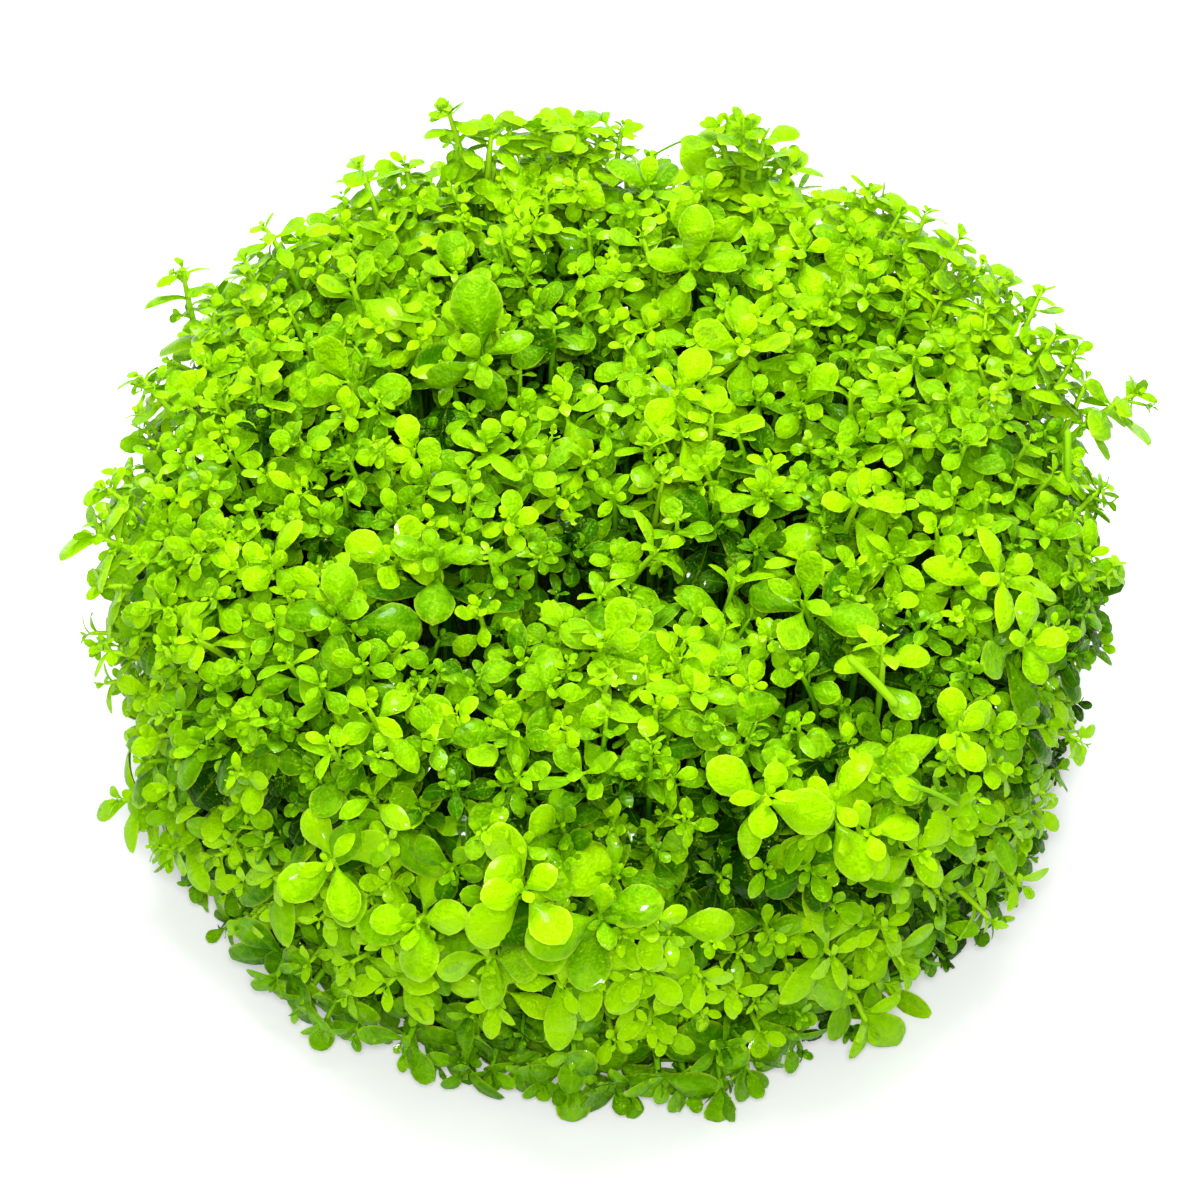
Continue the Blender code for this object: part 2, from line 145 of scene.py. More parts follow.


# %% [markdown]
# ## Where the stems end
# The tips stand as close as their leaves let them, yet nowhere in rows. Throwing darts gives just that: try
# random places on the surface and keep one only if no earlier tip is too near. The stems that can be told
# apart on the real cushion are set first, one by one, and the darts fill in round them.
#
# A second layer ends deeper down. Its leaves are seen between the others, in the shade, and are painted
# darker too.

# %% Stems that are listed one by one
# Sprigs that stick out: bearing of the foot, its height, heading, climb, length past the surface, leaf scale
FREE_SPRIGS = (
    (140, 26.0, 135, 40, 2.4, 1.0), (124, 26.0, 118, 45, 2.6, 1.2), (118, 26.0, 110, 50, 1.5, 1.1),
    (110, 26.3, 118, 50, 4.2, 1.0), (106, 26.0, 80, 50, 2.1, 1.4), (103, 26.0, 95, 55, 2.0, 1.2),
    (99, 26.4, 105, 55, 2.2, 1.35), (97, 26.5, 92, 60, 2.1, 1.5), (94, 26.4, 80, 55, 2.1, 1.4),
    (91, 26.2, 70, 50, 0.9, 1.0), (88, 26.0, 75, 50, 1.4, 0.7), (95, 26.0, 95, 45, 1.2, 1.3),
    (73, 26.3, 118, 55, 2.8, 1.2), (70, 26.6, 95, 62, 3.5, 1.1), (68, 26.3, 80, 55, 2.6, 1.4),
    (64, 26.2, 60, 48, 1.3, 1.3), (52, 26.2, 60, 50, 1.8, 1.2), (51, 26.0, 75, 45, 1.6, 1.0),
    (47, 26.0, 50, 40, 1.4, 1.1), (43, 26.0, 60, 40, 2.4, 1.1), (38, 25.6, 50, 40, 2.2, 1.1),
    (34, 25.2, 40, 35, 1.8, 1.2), (30, 25.0, 44, 40, 2.2, 1.0), (25, 24.0, 55, 45, 3.4, 0.95),
    (22, 23.0, 30, 30, 1.4, 1.1), (20, 24.0, 50, 35, 2.6, 1.1), (17, 23.0, 57, 30, 3.0, 1.0),
    (14, 22.0, 70, 20, 2.8, 1.1), (12, 22.0, 12, 26, 4.8, 1.3), (3, 21.0, 60, -20, 0.8, 0.9),
    (351, 20.0, 20, -15, 1.2, 0.8), (146, 26.0, 120, 50, 1.8, 1.0), (155, 24.5, 104, 52, 4.6, 0.95),
    (151, 25.0, 90, 50, 0.6, 1.4), (163, 23.0, 150, 30, 0.6, 0.9), (166, 24.0, 140, 30, 2.0, 0.9),
    (182, 23.0, 153, 20, 2.0, 1.0), (187.5, 22.2, 162, 12, 2.7, 1.7), (192, 21.0, 185, 5, 1.5, 1.3),
    (197, 18.0, 175, 8, 1.5, 0.9), (191, 16.0, 185, -5, 1.8, 1.0), (194, 13.0, 190, -10, 1.4, 1.0),
    (206, 8.5, 178, 2, 3.4, 1.6), (207, 8.0, 215, -25, 2.6, 1.2), (212, 7.5, 230, -30, 2.0, 1.3),
    (225, 7.0, 228, -30, 1.4, 1.0), (230, 5.5, 248, -32, 2.6, 1.6), (237, 4.0, 245, -32, 2.6, 1.5),
    (234, 4.5, 238, -30, 2.8, 1.5), (241, 4.0, 243, -30, 2.4, 1.4), (247, 4.0, 252, -30, 2.4, 1.5),
    (254, 3.6, 250, -30, 2.5, 1.6), (260, 3.6, 262, -30, 1.7, 1.5), (266, 3.2, 262, -25, 2.1, 1.6),
    (271, 3.2, 276, -30, 2.3, 1.7), (276, 3.8, 276, -30, 2.5, 1.8), (283, 3.4, 279, -32, 3.3, 1.8),
    (286, 3.8, 285, -34, 2.7, 1.8), (291, 4.5, 290, -35, 1.9, 1.6), (268, 2.6, 270, -15, 2.0, 1.4),
    (273, 2.6, 268, -18, 2.6, 1.5), (279, 2.8, 282, -18, 2.8, 1.5), (263, 2.6, 256, -18, 1.5, 1.4),
    (257, 3.0, 256, -22, 1.8, 1.5), (300, 5.2, 300, -32, 3.0, 1.8), (306, 7.0, 305, -30, 1.2, 1.2),
    (317, 8.0, 318, -28, 2.4, 1.3), (323, 8.0, 318, -24, 2.2, 1.2), (330, 12.0, 350, -18, 0.6, 1.0),
    (336, 14.0, 325, -8, 1.4, 1.0),
)

# Stems that stand out inside the outline: place of the tip, bearing and climb of its heading, scale, tone
MARKED_SPRIGS = (
    (-5.0, -31.0, 21.4, 265, 55, 2.6, 0.98), (-0.2, -31.8, 19.6, 285, 35, 2.3, 0.55),
    (4.6, 3.5, 28.3, 250, 75, 1.6, 0.98), (8.7, 7.6, 28.2, 250, 70, 1.6, 0.92),
    (-16.6, -15.0, 28.0, 240, 60, 1.8, 0.55), (26.4, -14.0, 24.6, 330, 45, 1.9, 0.75),
    (14.1, -28.9, 12.0, 300, 20, 1.9, 0.95), (-7.3, -31.6, 14.8, 255, 15, 1.8, 0.8),
    (17.0, -17.0, 28.0, 90, 60, 1.4, 0.95), (12.0, -13.5, 28.0, 200, 70, 1.8, 0.60),
    (-2.6, -32.2, 13.0, 290, 15, 1.8, 1.0), (2.4, -32.3, 14.6, 262, 25, 1.9, 1.0),
    (6.0, -31.9, 13.6, 300, 5, 1.7, 0.98), (2.8, -31.6, 19.2, 270, 50, 1.5, 0.95),
    (-16.9, -27.4, 19.6, 240, 45, 1.8, 0.92), (-11.6, -30.2, 17.0, 250, 30, 1.7, 0.90),
    (19.3, -26.0, 18.6, 310, 40, 1.8, 0.92), (21.7, -21.3, 24.6, 315, 50, 1.7, 0.95),
    (-8.0, 6.1, 28.0, 260, 35, 2.0, 0.55), (5.4, 14.3, 28.0, 250, 50, 1.9, 0.75),
    (15.9, -5.3, 28.2, 20, 70, 1.7, 0.92), (-25.5, -13.7, 24.4, 205, 50, 1.6, 1.0),
    (16.1, -26.8, 21.8, 300, 50, 1.8, 0.98), (24.8, -10.0, 26.4, 340, 60, 1.9, 0.98),
    (-20.8, -9.9, 27.8, 200, 65, 1.6, 0.88), (-16.4, 13.8, 27.6, 120, 60, 1.6, 0.85),
    (9.8, -27.0, 25.6, 290, 55, 1.7, 0.95),
)

# Sprigs that stand in the parting, leafy to their tips and leaning: as above
PARTING_SPRIGS = (
    (-0.3, -11.6, 26.2, 70, 64, 1.5, 0.66), (1.6, -10.8, 25.4, 40, 58, 1.3, 0.58),
    (3.4, -8.0, 26.4, 15, 48, 1.5, 0.70), (-2.6, -14.6, 26.8, 120, 56, 1.5, 0.66),
    (5.6, -12.6, 25.6, 30, 60, 1.3, 0.60), (2.6, -13.6, 26.4, 80, 66, 1.3, 0.50),
    (8.2, -9.6, 25.8, 60, 55, 1.3, 0.70),
)

# Bare stems that lie in the open: start, heading, climb, length, radius, tone
BARE_STEMS = (
    (14.7, -18.1, 28.1, 323, -27, 4.6, 0.30, 0.70), (18.4, -24.5, 23.6, 15, -44, 4.9, 0.17, 0.60),
    (29.4, 3.6, 24.6, 270, -40, 3.8, 0.26, 0.60), (3.1, 26.8, 25.2, 20, 16, 2.7, 0.08, 0.40),
)
print(len(FREE_SPRIGS) + len(MARKED_SPRIGS) + len(PARTING_SPRIGS), "leafy stems are set by hand")

# %% [markdown]
# ## Gaps, hollows and swellings
# The cushion isn't even. In a few gaps no stem ends at all, and a notch is open in its far edge. Between the
# tufts it has hollows, where the leaves stand lower and further apart, with painted shade. The wall swells
# and shrinks.
# Noise could do this, but the eye finds the dark lines of the real cushion first, so each is listed.

# %% Where the cushion is uneven
# Gaps: place in plan and radius. Those near x 4 and y 25 are the notch.
GAPS = (
    (16.1, -18.2, 1.9), (18.6, -20.6, 1.5), (13.0, 10.0, 1.3), (-13.2, 5.6, 1.3), (4.5, -23.4, 1.3),
    (8.4, -9.9, 1.8), (4.8, -9.6, 1.4), (2.0, -11.0, 1.4), (-1.2, -12.4, 1.4), (-5.5, -15.8, 1.3),
    (-9.4, -15.2, 1.2), (-11.8, -13.4, 1.5), (-10.0, -28.2, 1.5), (7.9, -29.2, 1.4), (3.4, 27.2, 2.6),
    (6.0, 26.8, 2.5), (2.2, 24.4, 1.9), (5.6, 24.2, 1.9), (-18.9, 21.2, 1.9), (-23.6, 17.4, 1.8),
    (-27.4, 11.4, 2.2), (0.6, 24.2, 1.6), (13.6, 24.2, 2.0),
)
GAP_HEIGHT = 20.0       # a gap is open above this height
NOTCH_REACH = 24.0      # one that is this far out is open in the deeper layer too

# Hollows: place in plan and reach. Most lie over the middle, round the front shoulder and up the right
HOLLOWS = (
    (-12.3, -13.4, 2.0), (-9.5, -15.2, 1.8), (-6.8, -15.8, 1.8), (-4.0, -15.4, 1.9), (-1.8, -13.6, 1.9),
    (0.4, -10.6, 2.1), (3.2, -8.2, 2.2), (6.1, -8.0, 2.4), (8.6, -9.4, 2.5), (11.6, -11.4, 2.0),
    (-20.1, -23.8, 1.6), (-16.8, -24.8, 1.6), (-9.8, -27.8, 2.6), (-8.2, -26.0, 2.1),
    (-4.0, -27.9, 2.0), (-0.9, -28.6, 1.9), (1.8, -28.6, 1.9), (5.1, -29.6, 2.0), (7.9, -29.4, 2.2),
    (10.6, -29.2, 1.9), (0.6, -25.4, 1.3), (7.4, -25.4, 1.4), (11.6, -26.6, 1.5), (13.2, -23.2, 1.6),
    (15.6, -16.8, 2.4), (18.4, -19.6, 1.8), (19.6, -15.6, 1.8), (21.2, -21.2, 1.7), (23.7, -14.0, 1.9),
    (25.6, -14.6, 1.6), (25.3, -9.8, 1.5), (26.8, -4.8, 1.8), (28.0, -8.0, 1.5), (-6.2, 11.0, 1.3),
    (-0.2, 6.2, 1.5), (2.2, -6.0, 1.5), (6.1, -5.2, 1.6), (10.6, -6.6, 1.6), (-0.8, -9.4, 1.4),
    (-10.8, 3.0, 1.5), (16.0, 9.4, 2.2), (-21.6, 1.6, 1.7), (-2.2, -5.6, 1.7), (-4.4, -12.6, 1.5),
    (-17.2, -7.2, 1.4), (-23.3, -14.0, 1.4), (-15.7, -14.0, 1.3),
)
HOLLOW_HEIGHT = 17.0    # they lie above this height

# Swellings of the wall, or dents where the amount is negative: bearing and how far round, height, amount
SWELLS = (
    (237.0, 13.0, 2.0, 2.1), (262.0, 13.0, 2.0, 1.9), (286.0, 14.0, 2.0, 2.1), (0.0, 14.0, 18.0, -0.7),
    (213.0, 10.0, 8.0, 1.1), (80.0, 6.0, 20.0, -4.0), (320.0, 13.0, 5.0, 1.4), (199.0, 9.0, 8.0, 0.3),
    (350.0, 7.0, 18.0, 1.1), (341.0, 6.0, 12.0, -0.6), (152.0, 5.0, 22.0, -1.0),
)
SWELL_HEIGHT = 8.0


def hollow(point):
    """1 in the middle of a hollow, 0 away from all of them."""
    if point.z < HOLLOW_HEIGHT:
        return 0.0
    return max(math.exp(-((point.x - x) ** 2 + (point.y - y) ** 2) / reach ** 2) for x, y, reach in HOLLOWS)


def in_gap(point):
    """Whether no stem may end here."""
    return point.z > GAP_HEIGHT and any(math.hypot(point.x - x, point.y - y) < size for x, y, size in GAPS)


def swell(bearing, height):
    """How much further out the leaves of the wall reach here."""
    total = 0.0
    for middle, spread, level, amount in SWELLS:
        turn = (bearing - middle + 180.0) % 360.0 - 180.0
        total += amount * math.exp(-(turn / spread) ** 2 - ((height - level) / SWELL_HEIGHT) ** 2)
    return total


print(len(GAPS), "gaps,", len(HOLLOWS), "hollows and", len(SWELLS), "swellings or dents of the wall")


# %% Throw the darts
TRIES = 9000
CELL = 4.0              # side of a cell, wider than any spacing, so that only near cells are searched
WALL_FOOT, WALL_TOP = 0.9, 21.0     # heights between which stems end on the wall
NEIGHBOURS = [(i, j, k) for i in (-1, 0, 1) for j in (-1, 0, 1) for k in (-1, 0, 1)]


def cell_of(point):
    """The cell that a point is in."""
    return tuple(math.floor(c / CELL) for c in point)


def throw_darts(dice, kept, place_of, spacing_of):
    """Keeps each random place that is no nearer to the kept ones than its spacing."""
    added = []
    cells = {}
    for point in kept:
        cells.setdefault(cell_of(point), []).append(point)
    for _ in range(TRIES):
        point = place_of(dice)
        spacing = spacing_of(point)
        if spacing is None:
            continue
        x, y, z = cell_of(point)
        others = [other for i, j, k in NEIGHBOURS for other in cells.get((x + i, y + j, z + k), ())]
        if all((other - point).length >= spacing for other in others):
            cells.setdefault((x, y, z), []).append(point)
            added.append(point)
    return added


def place_on_crown(dice):
    reach = RIM_RADIUS * math.sqrt(dice.random())
    x, y = around(dice.uniform(0.0, 360.0), reach)
    return Vector((x, y, crown_height(x, y)))


def place_on_wall(dice):
    height = dice.uniform(WALL_FOOT, WALL_TOP)
    bearing = dice.uniform(0.0, 360.0)
    x, y = around(bearing, wall_radius(height) + swell(bearing, height))
    return Vector((x, y, height))


# %% How far apart the tips stand, in millimetres
CROWN_SPACING, WALL_SPACING, PARTING_SPACING = 2.25, 2.6, 3.0
HOLLOW_SPACING, FAR_HOLLOW_SPACING = 1.3, 0.3       # added to them in a hollow
SHADE_SPACING, FAR_SHADE_SPACING, FOOT_SHADE_SPACING = 2.75, 2.15, 1.9
FAR_SIDE = 3.0          # beyond this Y the eye looks along the stems, so they stand closer
FAR_FOOT = 9.0          # height of the foot on the far side


def crown_spacing(point):
    """Spacing on the crown, or None where no stem may end."""
    if in_gap(point):
        return None
    in_parting = (PARTING_SPACING - CROWN_SPACING) * parting(point.x, point.y)
    in_hollow = (HOLLOW_SPACING if point.y < FAR_SIDE else FAR_HOLLOW_SPACING) * hollow(point)
    return CROWN_SPACING + max(in_parting, in_hollow)


def wall_spacing(point):
    return WALL_SPACING + HOLLOW_SPACING * hollow(point)


def shade_spacing(point):
    """The deeper layer is open in the notch, and close at the far foot, so that no light falls through."""
    if in_gap(point) and math.hypot(point.x, point.y) > NOTCH_REACH:
        return None
    if point.y > 0.0 and point.z < FAR_FOOT:
        return FOOT_SHADE_SPACING
    return FAR_SHADE_SPACING if point.y > FAR_SIDE else SHADE_SPACING


# %% [markdown]
# ## What a stem knows before it grows
# A stem knows where its tip is and points, how big and how bright its leaves are and how many pairs it has.
# Brightness could be left to the lamps alone, but leaves also differ by age, and painted light and shade are
# added to what the lamps give. So a tone from 0, dark, to 1, young and bright, goes with each stem. Painted
# shade lowers it in hollows, in the parting, at the foot and on the right side, and painted light raises it
# in a band across the front and towards the far edge.

# %% The stems
LEAST_HEIGHT = 1.4              # of a tip
SMALLEST, LARGEST = 0.72, 1.28  # scale of the leaves
WALL_LARGER = 0.06
BIGGER_CHANCE = 0.13            # for a stem with bigger leaves, and how much bigger they are
BIGGER = (1.3, 1.7)
BIGGER_REACH, FRONT_EDGE = 27.0, -24.0      # they stand inside this radius, and at the front
HOLLOW_DEPTH, SHADE_DEPTH = 3.2, 3.0
TIP_DEPTH = (0.2, 1.5)          # how far under the leafy surface a stem ends
TONE, TONE_SCATTER = 0.75, 0.22
# Painted shade in the parting and hollows, painted light across the front and towards the far edge, painted
# shade on the right side and at the foot
PARTING_SHADE, HOLLOW_SHADE = 0.24, 0.50
FRONT_LIGHT, FAR_LIGHT = 0.34, 0.12
SIDE_SHADE, SIDE_EDGE_SHADE = 0.22, 0.19
FOOT_SHADE, FRONT_FOOT_SHADE = 0.14, 0.28
FRINGE_TOP, FRINGE_FADE = 9.5, 4.5          # under this height leaves get painted shade, full at this much lower
BAND_HEIGHT, BAND_WIDTH = 11.0, 3.8         # of the band of painted light across the front
FRONT_MIDDLE, FRONT_WIDTH = -4.0, 42.0      # degrees from the front
SIDE_MIDDLE, SIDE_WIDTH = -10.0, 30.0       # degrees from the right
# Free sprigs low at the front get a darker tone, a painted shade at the foot
FREE_TONE, FRONT_FREE_TONE = 0.86, 0.50
# Free sprigs take less of the darkening of older pairs, which is partly painted shade
FREE_FADE, FREE_CLOSE = 0.35, 0.70
FREE_INSIDE = 0.7       # how much shorter than its length a free sprig's stem is, for leaves of scale 1


def make_stem(tip, heading, scale, tone, layer, pairs, fade=1.0, close=1.0, deep=0.0):
    """What is known of a stem before it grows.

    fade tells how much darker older leaves are, for age and painted shade, close how near they stand, deep
    how far it is in the parting.
    """
    return {
        "tip": tip, "heading": heading.normalized(), "scale": scale, "tone": tone, "layer": layer,
        "pairs": pairs, "fade": fade, "close": close, "deep": deep,
    }


def bell(value, middle, width):
    """1 at the middle, falling off smoothly on both sides."""
    return math.exp(-((value - middle) / width) ** 2)


def far_share(point):
    """0 in the near part, rising to about 1 at the far edge."""
    return max(0.0, point.y - 6.0) / 24.0


def tone_at(point, wall, drift):
    """How bright leaves are painted for their place, with painted shade and painted light, and a drift of the
    stem's own.
    """
    front = bell(math.degrees(math.atan2(point.x, -point.y)), FRONT_MIDDLE, FRONT_WIDTH)
    band = bell(point.z, BAND_HEIGHT, BAND_WIDTH)
    side = bell(math.degrees(math.atan2(point.y, point.x)), SIDE_MIDDLE, SIDE_WIDTH)
    fringe = min(max((FRINGE_TOP - point.z) / FRINGE_FADE, 0.0), 1.0) * wall
    tone = TONE + drift * (1.0 + 0.5 * wall) - PARTING_SHADE * parting(point.x, point.y)
    tone += (FRONT_LIGHT * front * band - SIDE_SHADE * side) * wall
    tone -= SIDE_EDGE_SHADE * side * max(0.0, point.x - 20.0) / 12.0
    tone += FAR_LIGHT * far_share(point)
    tone -= HOLLOW_SHADE * hollow(point) + (FOOT_SHADE + FRONT_FOOT_SHADE * front) * fringe
    return tone


def stem_from(point, dice, layer):
    """A stem that ends at this place of the surface, in the outer layer, 0, or in the shade, 1."""
    normal = surface_normal(point)
    wall = 1.0 - normal.z
    deep = parting(point.x, point.y)
    sunk = hollow(point)
    lean = Vector((dice.gauss(0.0, 1.0), dice.gauss(0.0, 1.0), dice.gauss(0.0, 0.5)))
    low = max(0.0, 1.0 - point.z / 14.0)
    heading = (normal + UP * (0.45 - 0.95 * low) * wall + lean * 0.30).normalized()
    scale = dice.uniform(SMALLEST, LARGEST) + WALL_LARGER * wall
    bigger = dice.uniform(*BIGGER) if dice.random() < BIGGER_CHANCE else 1.0
    if math.hypot(point.x, point.y) < BIGGER_REACH or point.y < FRONT_EDGE:
        scale *= bigger
    tone = tone_at(point, wall, dice.uniform(-TONE_SCATTER, TONE_SCATTER))
    depth = dice.uniform(*TIP_DEPTH) + 0.4 * wall + HOLLOW_DEPTH * sunk * dice.uniform(0.5, 1.2)
    if layer:
        depth += SHADE_DEPTH * dice.uniform(0.75, 1.25) - HOLLOW_DEPTH * sunk
        # The deeper layer gets painted shade, more on the wall and less towards the far edge
        tone -= 0.50 + 0.40 * wall - 0.16 * far_share(point)
    tip = point - normal * depth
    tip.z = max(tip.z, LEAST_HEIGHT)
    pairs = 3 if layer else 5
    # Older leaves on the wall get more painted shade
    return make_stem(tip, heading, scale, tone, layer, pairs, 1.0 + 0.6 * wall, 1.0 + 0.5 * deep, deep)


def stems_by_hand():
    """The stems of the three lists."""
    made = []
    for x, y, z, bearing, climb, scale, tone in MARKED_SPRIGS:
        made.append(make_stem(Vector((x, y, z)), direction(bearing, climb), scale, tone, 0, 4))
    for x, y, z, bearing, climb, scale, tone in PARTING_SPRIGS:
        made.append(make_stem(Vector((x, y, z)), direction(bearing, climb), scale, tone, 0, 5, 0.6, 1.2, 0.9))
    for bearing, height, heading, climb, length, scale in FREE_SPRIGS:
        way = direction(heading, climb)
        place = around(bearing, wall_radius(height))
        tip = Vector((place.x, place.y, height)) + way * (length - FREE_INSIDE * scale)
        # Low at the front the darker tone is painted shade at the foot
        tone = FRONT_FREE_TONE if height < 6.0 and 228 < bearing < 300 else FREE_TONE
        close = FREE_CLOSE if height > 25.0 else 1.0
        made.append(make_stem(tip, way, scale, tone, 0, 6, FREE_FADE, close))
    return made


dice = random.Random(11)
stems = stems_by_hand()
taken = [stem["tip"] for stem in stems]
crown = throw_darts(dice, taken, place_on_crown, crown_spacing)
wall = throw_darts(dice, taken + crown, place_on_wall, wall_spacing)
stems += [stem_from(point, dice, 0) for point in crown + wall]
shade = throw_darts(dice, [], place_on_crown, shade_spacing)
shade += throw_darts(dice, shade, place_on_wall, shade_spacing)
stems += [stem_from(point, dice, 1) for point in shade]
print(len(crown), "stems on the crown,", len(wall), "on the wall,", len(shade), "in the shade")

# %% [markdown]
# ## How a stem grows
# A stem starts in the foot mat under its tip and rises in one smooth bend to the way its tip points. Its
# leaf pairs stand close together at the bud and ever further apart below, and a pair is bigger and opens
# wider the older it is. So each stem becomes a chain of points, and each point knows the size, opening and
# turn of the pair that it carries. The leaves themselves come later, from Geometry Nodes.

# %% Points along a stem
PAIR_DISTANCE = (0.0, 0.28, 0.78, 1.50, 2.5, 3.8, 5.3)      # from the tip, for leaves of scale 1
PAIR_LENGTH = (0.54, 1.14, 1.82, 2.2, 2.5, 2.6, 2.5)
PAIR_OPENING = (16, 42, 64, 76, 84, 90, 94)                 # degrees between stem and leaf
# Older pairs are darker, partly with age and partly as painted shade deeper in the cushion
PAIR_TONE = (0.12, 0.10, 0.04, -0.09, -0.27, -0.42, -0.52)
STEM_RADIUS = 0.20
BARE_STEP = 6.5         # from point to point where a stem has no leaves
BARE_SHADE = 0.75       # how much darker it is there, a painted shade under the leaves
OLDEST = 9              # age of a point without leaves
ROOT_HEIGHT = 1.6
BEND_POINTS = 40
SHOOT_PAIRS = ((1.0, 0.60, 28), (0.75, 1.05, 62), (0.25, 1.32, 78))     # share of its reach, leaf, opening
SHOOT_CHANCE = 0.34
NARROW_FOOT, NARROW_TOP = 7.0, 14.0     # leaves are narrow where the tip is between these heights


def bend_of(root, tip, heading):
    """Points of a smooth bend that leaves the root upwards and reaches the tip along its heading."""
    span = (tip - root).length
    lift = root + Vector((0.0, 0.0, 0.45 * span))
    run_in = tip - heading * 0.38 * span
    points = []
    for k in range(BEND_POINTS + 1):
        t = k / BEND_POINTS
        s = 1.0 - t
        points.append(root * s ** 3 + lift * 3.0 * s * s * t + run_in * 3.0 * s * t * t + tip * t ** 3)
    return points


def point_at(points, distance):
    """The point that lies this far from the tip along the bend, and the way the stem points there."""
    for k in range(len(points) - 1, 0, -1):
        step = (points[k] - points[k - 1]).length
        if distance <= step or k == 1:
            share = min(distance / step, 1.0)
            return points[k].lerp(points[k - 1], share), (points[k] - points[k - 1]).normalized()
        distance -= step


def leafy_point(place, heading, turn, length, opening, tone, radius, age, seen=False, narrow=False):
    """A point with a pair of leaves: their turn about the stem, length, opening in degrees and age."""
    return {
        "place": place, "heading": heading, "leaves": 2, "turn": turn, "length": length,
        "opening": math.radians(opening), "tone": tone, "radius": radius, "age": age, "seen": seen,
        "narrow": narrow,
    }


def bare_point(place, heading, tone, radius):
    """A point of a stem where it has no leaves."""
    point = leafy_point(place, heading, 0.0, 1.0, 0.0, tone, radius, OLDEST)
    return {**point, "leaves": 0, "opening": 1.0}


def side_shoot(place, heading, scale, tone, dice):
    """A short shoot from the foot of a leaf, with three pairs of very small leaves."""
    aside = heading.cross(Vector([dice.gauss(0.0, 1.0) for _ in range(3)])).normalized()
    way = (heading * dice.uniform(0.5, 1.0) + aside).normalized()
    reach = dice.uniform(0.6, 1.5)
    turn = dice.uniform(0.0, math.pi)
    shoot = []
    for age, (share, length, opening) in enumerate(SHOOT_PAIRS):
        spot = place + way * reach * scale * share
        size = length * scale * dice.uniform(0.8, 1.2)
        shoot.append(leafy_point(spot, way, turn, size, opening, tone - 0.05 * age, 0.6 * STEM_RADIUS, age))
        turn += 0.5 * math.pi
    shoot.append(bare_point(place, way, tone - 0.2, 0.5 * STEM_RADIUS))
    return shoot


def root_of(tip, dice):
    """Where a stem leaves the mat: under its tip, a little nearer the middle."""
    inward = 0.90 if math.hypot(tip.x, tip.y) < 24.0 else 0.80
    root = Vector((tip.x * inward, tip.y * inward, ROOT_HEIGHT))
    root += Vector((dice.uniform(-1.5, 1.5), dice.uniform(-1.5, 1.5), 0.0))
    if tip.z < 9.0:
        root.x, root.y = 0.86 * root.x, 0.86 * root.y
    return root


def grow(stem, dice):
    """The points of one stem from its tip down, each with what it carries, and of its side shoots."""
    tip, scale, outer = stem["tip"], stem["scale"], stem["layer"] == 0
    bend = bend_of(root_of(tip, dice), tip, stem["heading"])
    total = sum((bend[k + 1] - bend[k]).length for k in range(BEND_POINTS))
    turn = dice.uniform(0.0, math.pi)
    narrow = stem["deep"] > 0.3 or NARROW_FOOT < tip.z < NARROW_TOP
    seen_depth = 2.7 * scale if outer else 1.2
    grown, shoots = [], []
    for k in range(stem["pairs"] + (1 if dice.random() < 0.5 else 0)):
        distance = PAIR_DISTANCE[k] * (0.66 + 0.34 * scale) * stem["close"] * dice.uniform(0.92, 1.08)
        if distance > total - 0.5:
            break
        place, heading = point_at(bend, distance)
        opening = PAIR_OPENING[k] * (1.0 - 0.4 * stem["deep"])
        tone = stem["tone"] + PAIR_TONE[k] * stem["fade"]
        radius = STEM_RADIUS * (0.55 + 0.12 * k) * (0.6 + 0.4 * scale)
        seen = distance < seen_depth
        length = PAIR_LENGTH[k] * scale
        grown.append(leafy_point(place, heading, turn, length, opening, tone, radius, k, seen, narrow))
        turn += 0.5 * math.pi + dice.uniform(-0.15, 0.15)
        if k > 1 and outer and dice.random() < SHOOT_CHANCE:
            size = dice.uniform(0.7, 1.3)
            shoots.append(side_shoot(place, heading, size, stem["tone"] + 0.5 * PAIR_TONE[k], dice))
    distance += BARE_STEP * 0.5
    while distance < total:
        place, heading = point_at(bend, distance)
        grown.append(bare_point(place, heading, stem["tone"] - BARE_SHADE, STEM_RADIUS))
        distance += BARE_STEP
    return [grown] + shoots


# %% Grow them all, and lay the bare ones
LAID_POINTS = 10
LAID_SAG = 0.05         # how much a bare stem arches, as a share of its length


def laid_stem(start, way, length, radius, tone):
    """A bare stem that lies in the open, arched a little."""
    chain = []
    for k in range(LAID_POINTS + 1):
        share = k / LAID_POINTS
        arch = UP * (LAID_SAG * length * math.sin(math.pi * share))
        chain.append(bare_point(start + way * (length * share) + arch, way, tone, radius))
    return chain


dice = random.Random(12)
grown_by_tuft = {name: [] for name, place in SEATS}
for stem in stems:
    grown_by_tuft[tuft_of(stem["tip"].x, stem["tip"].y)] += grow(stem, dice)
for x, y, z, heading, climb, length, radius, tone in BARE_STEMS:
    chain = laid_stem(Vector((x, y, z)), direction(heading, climb), length, radius, tone)
    grown_by_tuft[tuft_of(x, y)].append(chain)
print("points on the stems:", sum(len(chain) for chains in grown_by_tuft.values() for chain in chains))

# %% [markdown]
# ## One leaf
# A leaf is a small thick spoon: a short narrow foot, a broad round blade that is a little cupped, a rim that
# stands up, and a shallow groove along the middle. It is built once, one unit long, as a closed thin body
# from rows across the blade. There are a few kinds of it, flatter, rounder, longer and more cupped, and
# plainer builds with few faces for buds and for leaves deep in the shade, because thousands are needed.

# %% Shape of a leaf, for a leaf one unit long
FOOT_LENGTH = 0.12      # the narrow foot, as a share of the leaf
FOOT_WIDTH = 0.11       # as a share of the blade's width
TOP_BELLY, UNDER_BELLY = 0.72, 0.30     # how the thickness bulges up and down from the rim


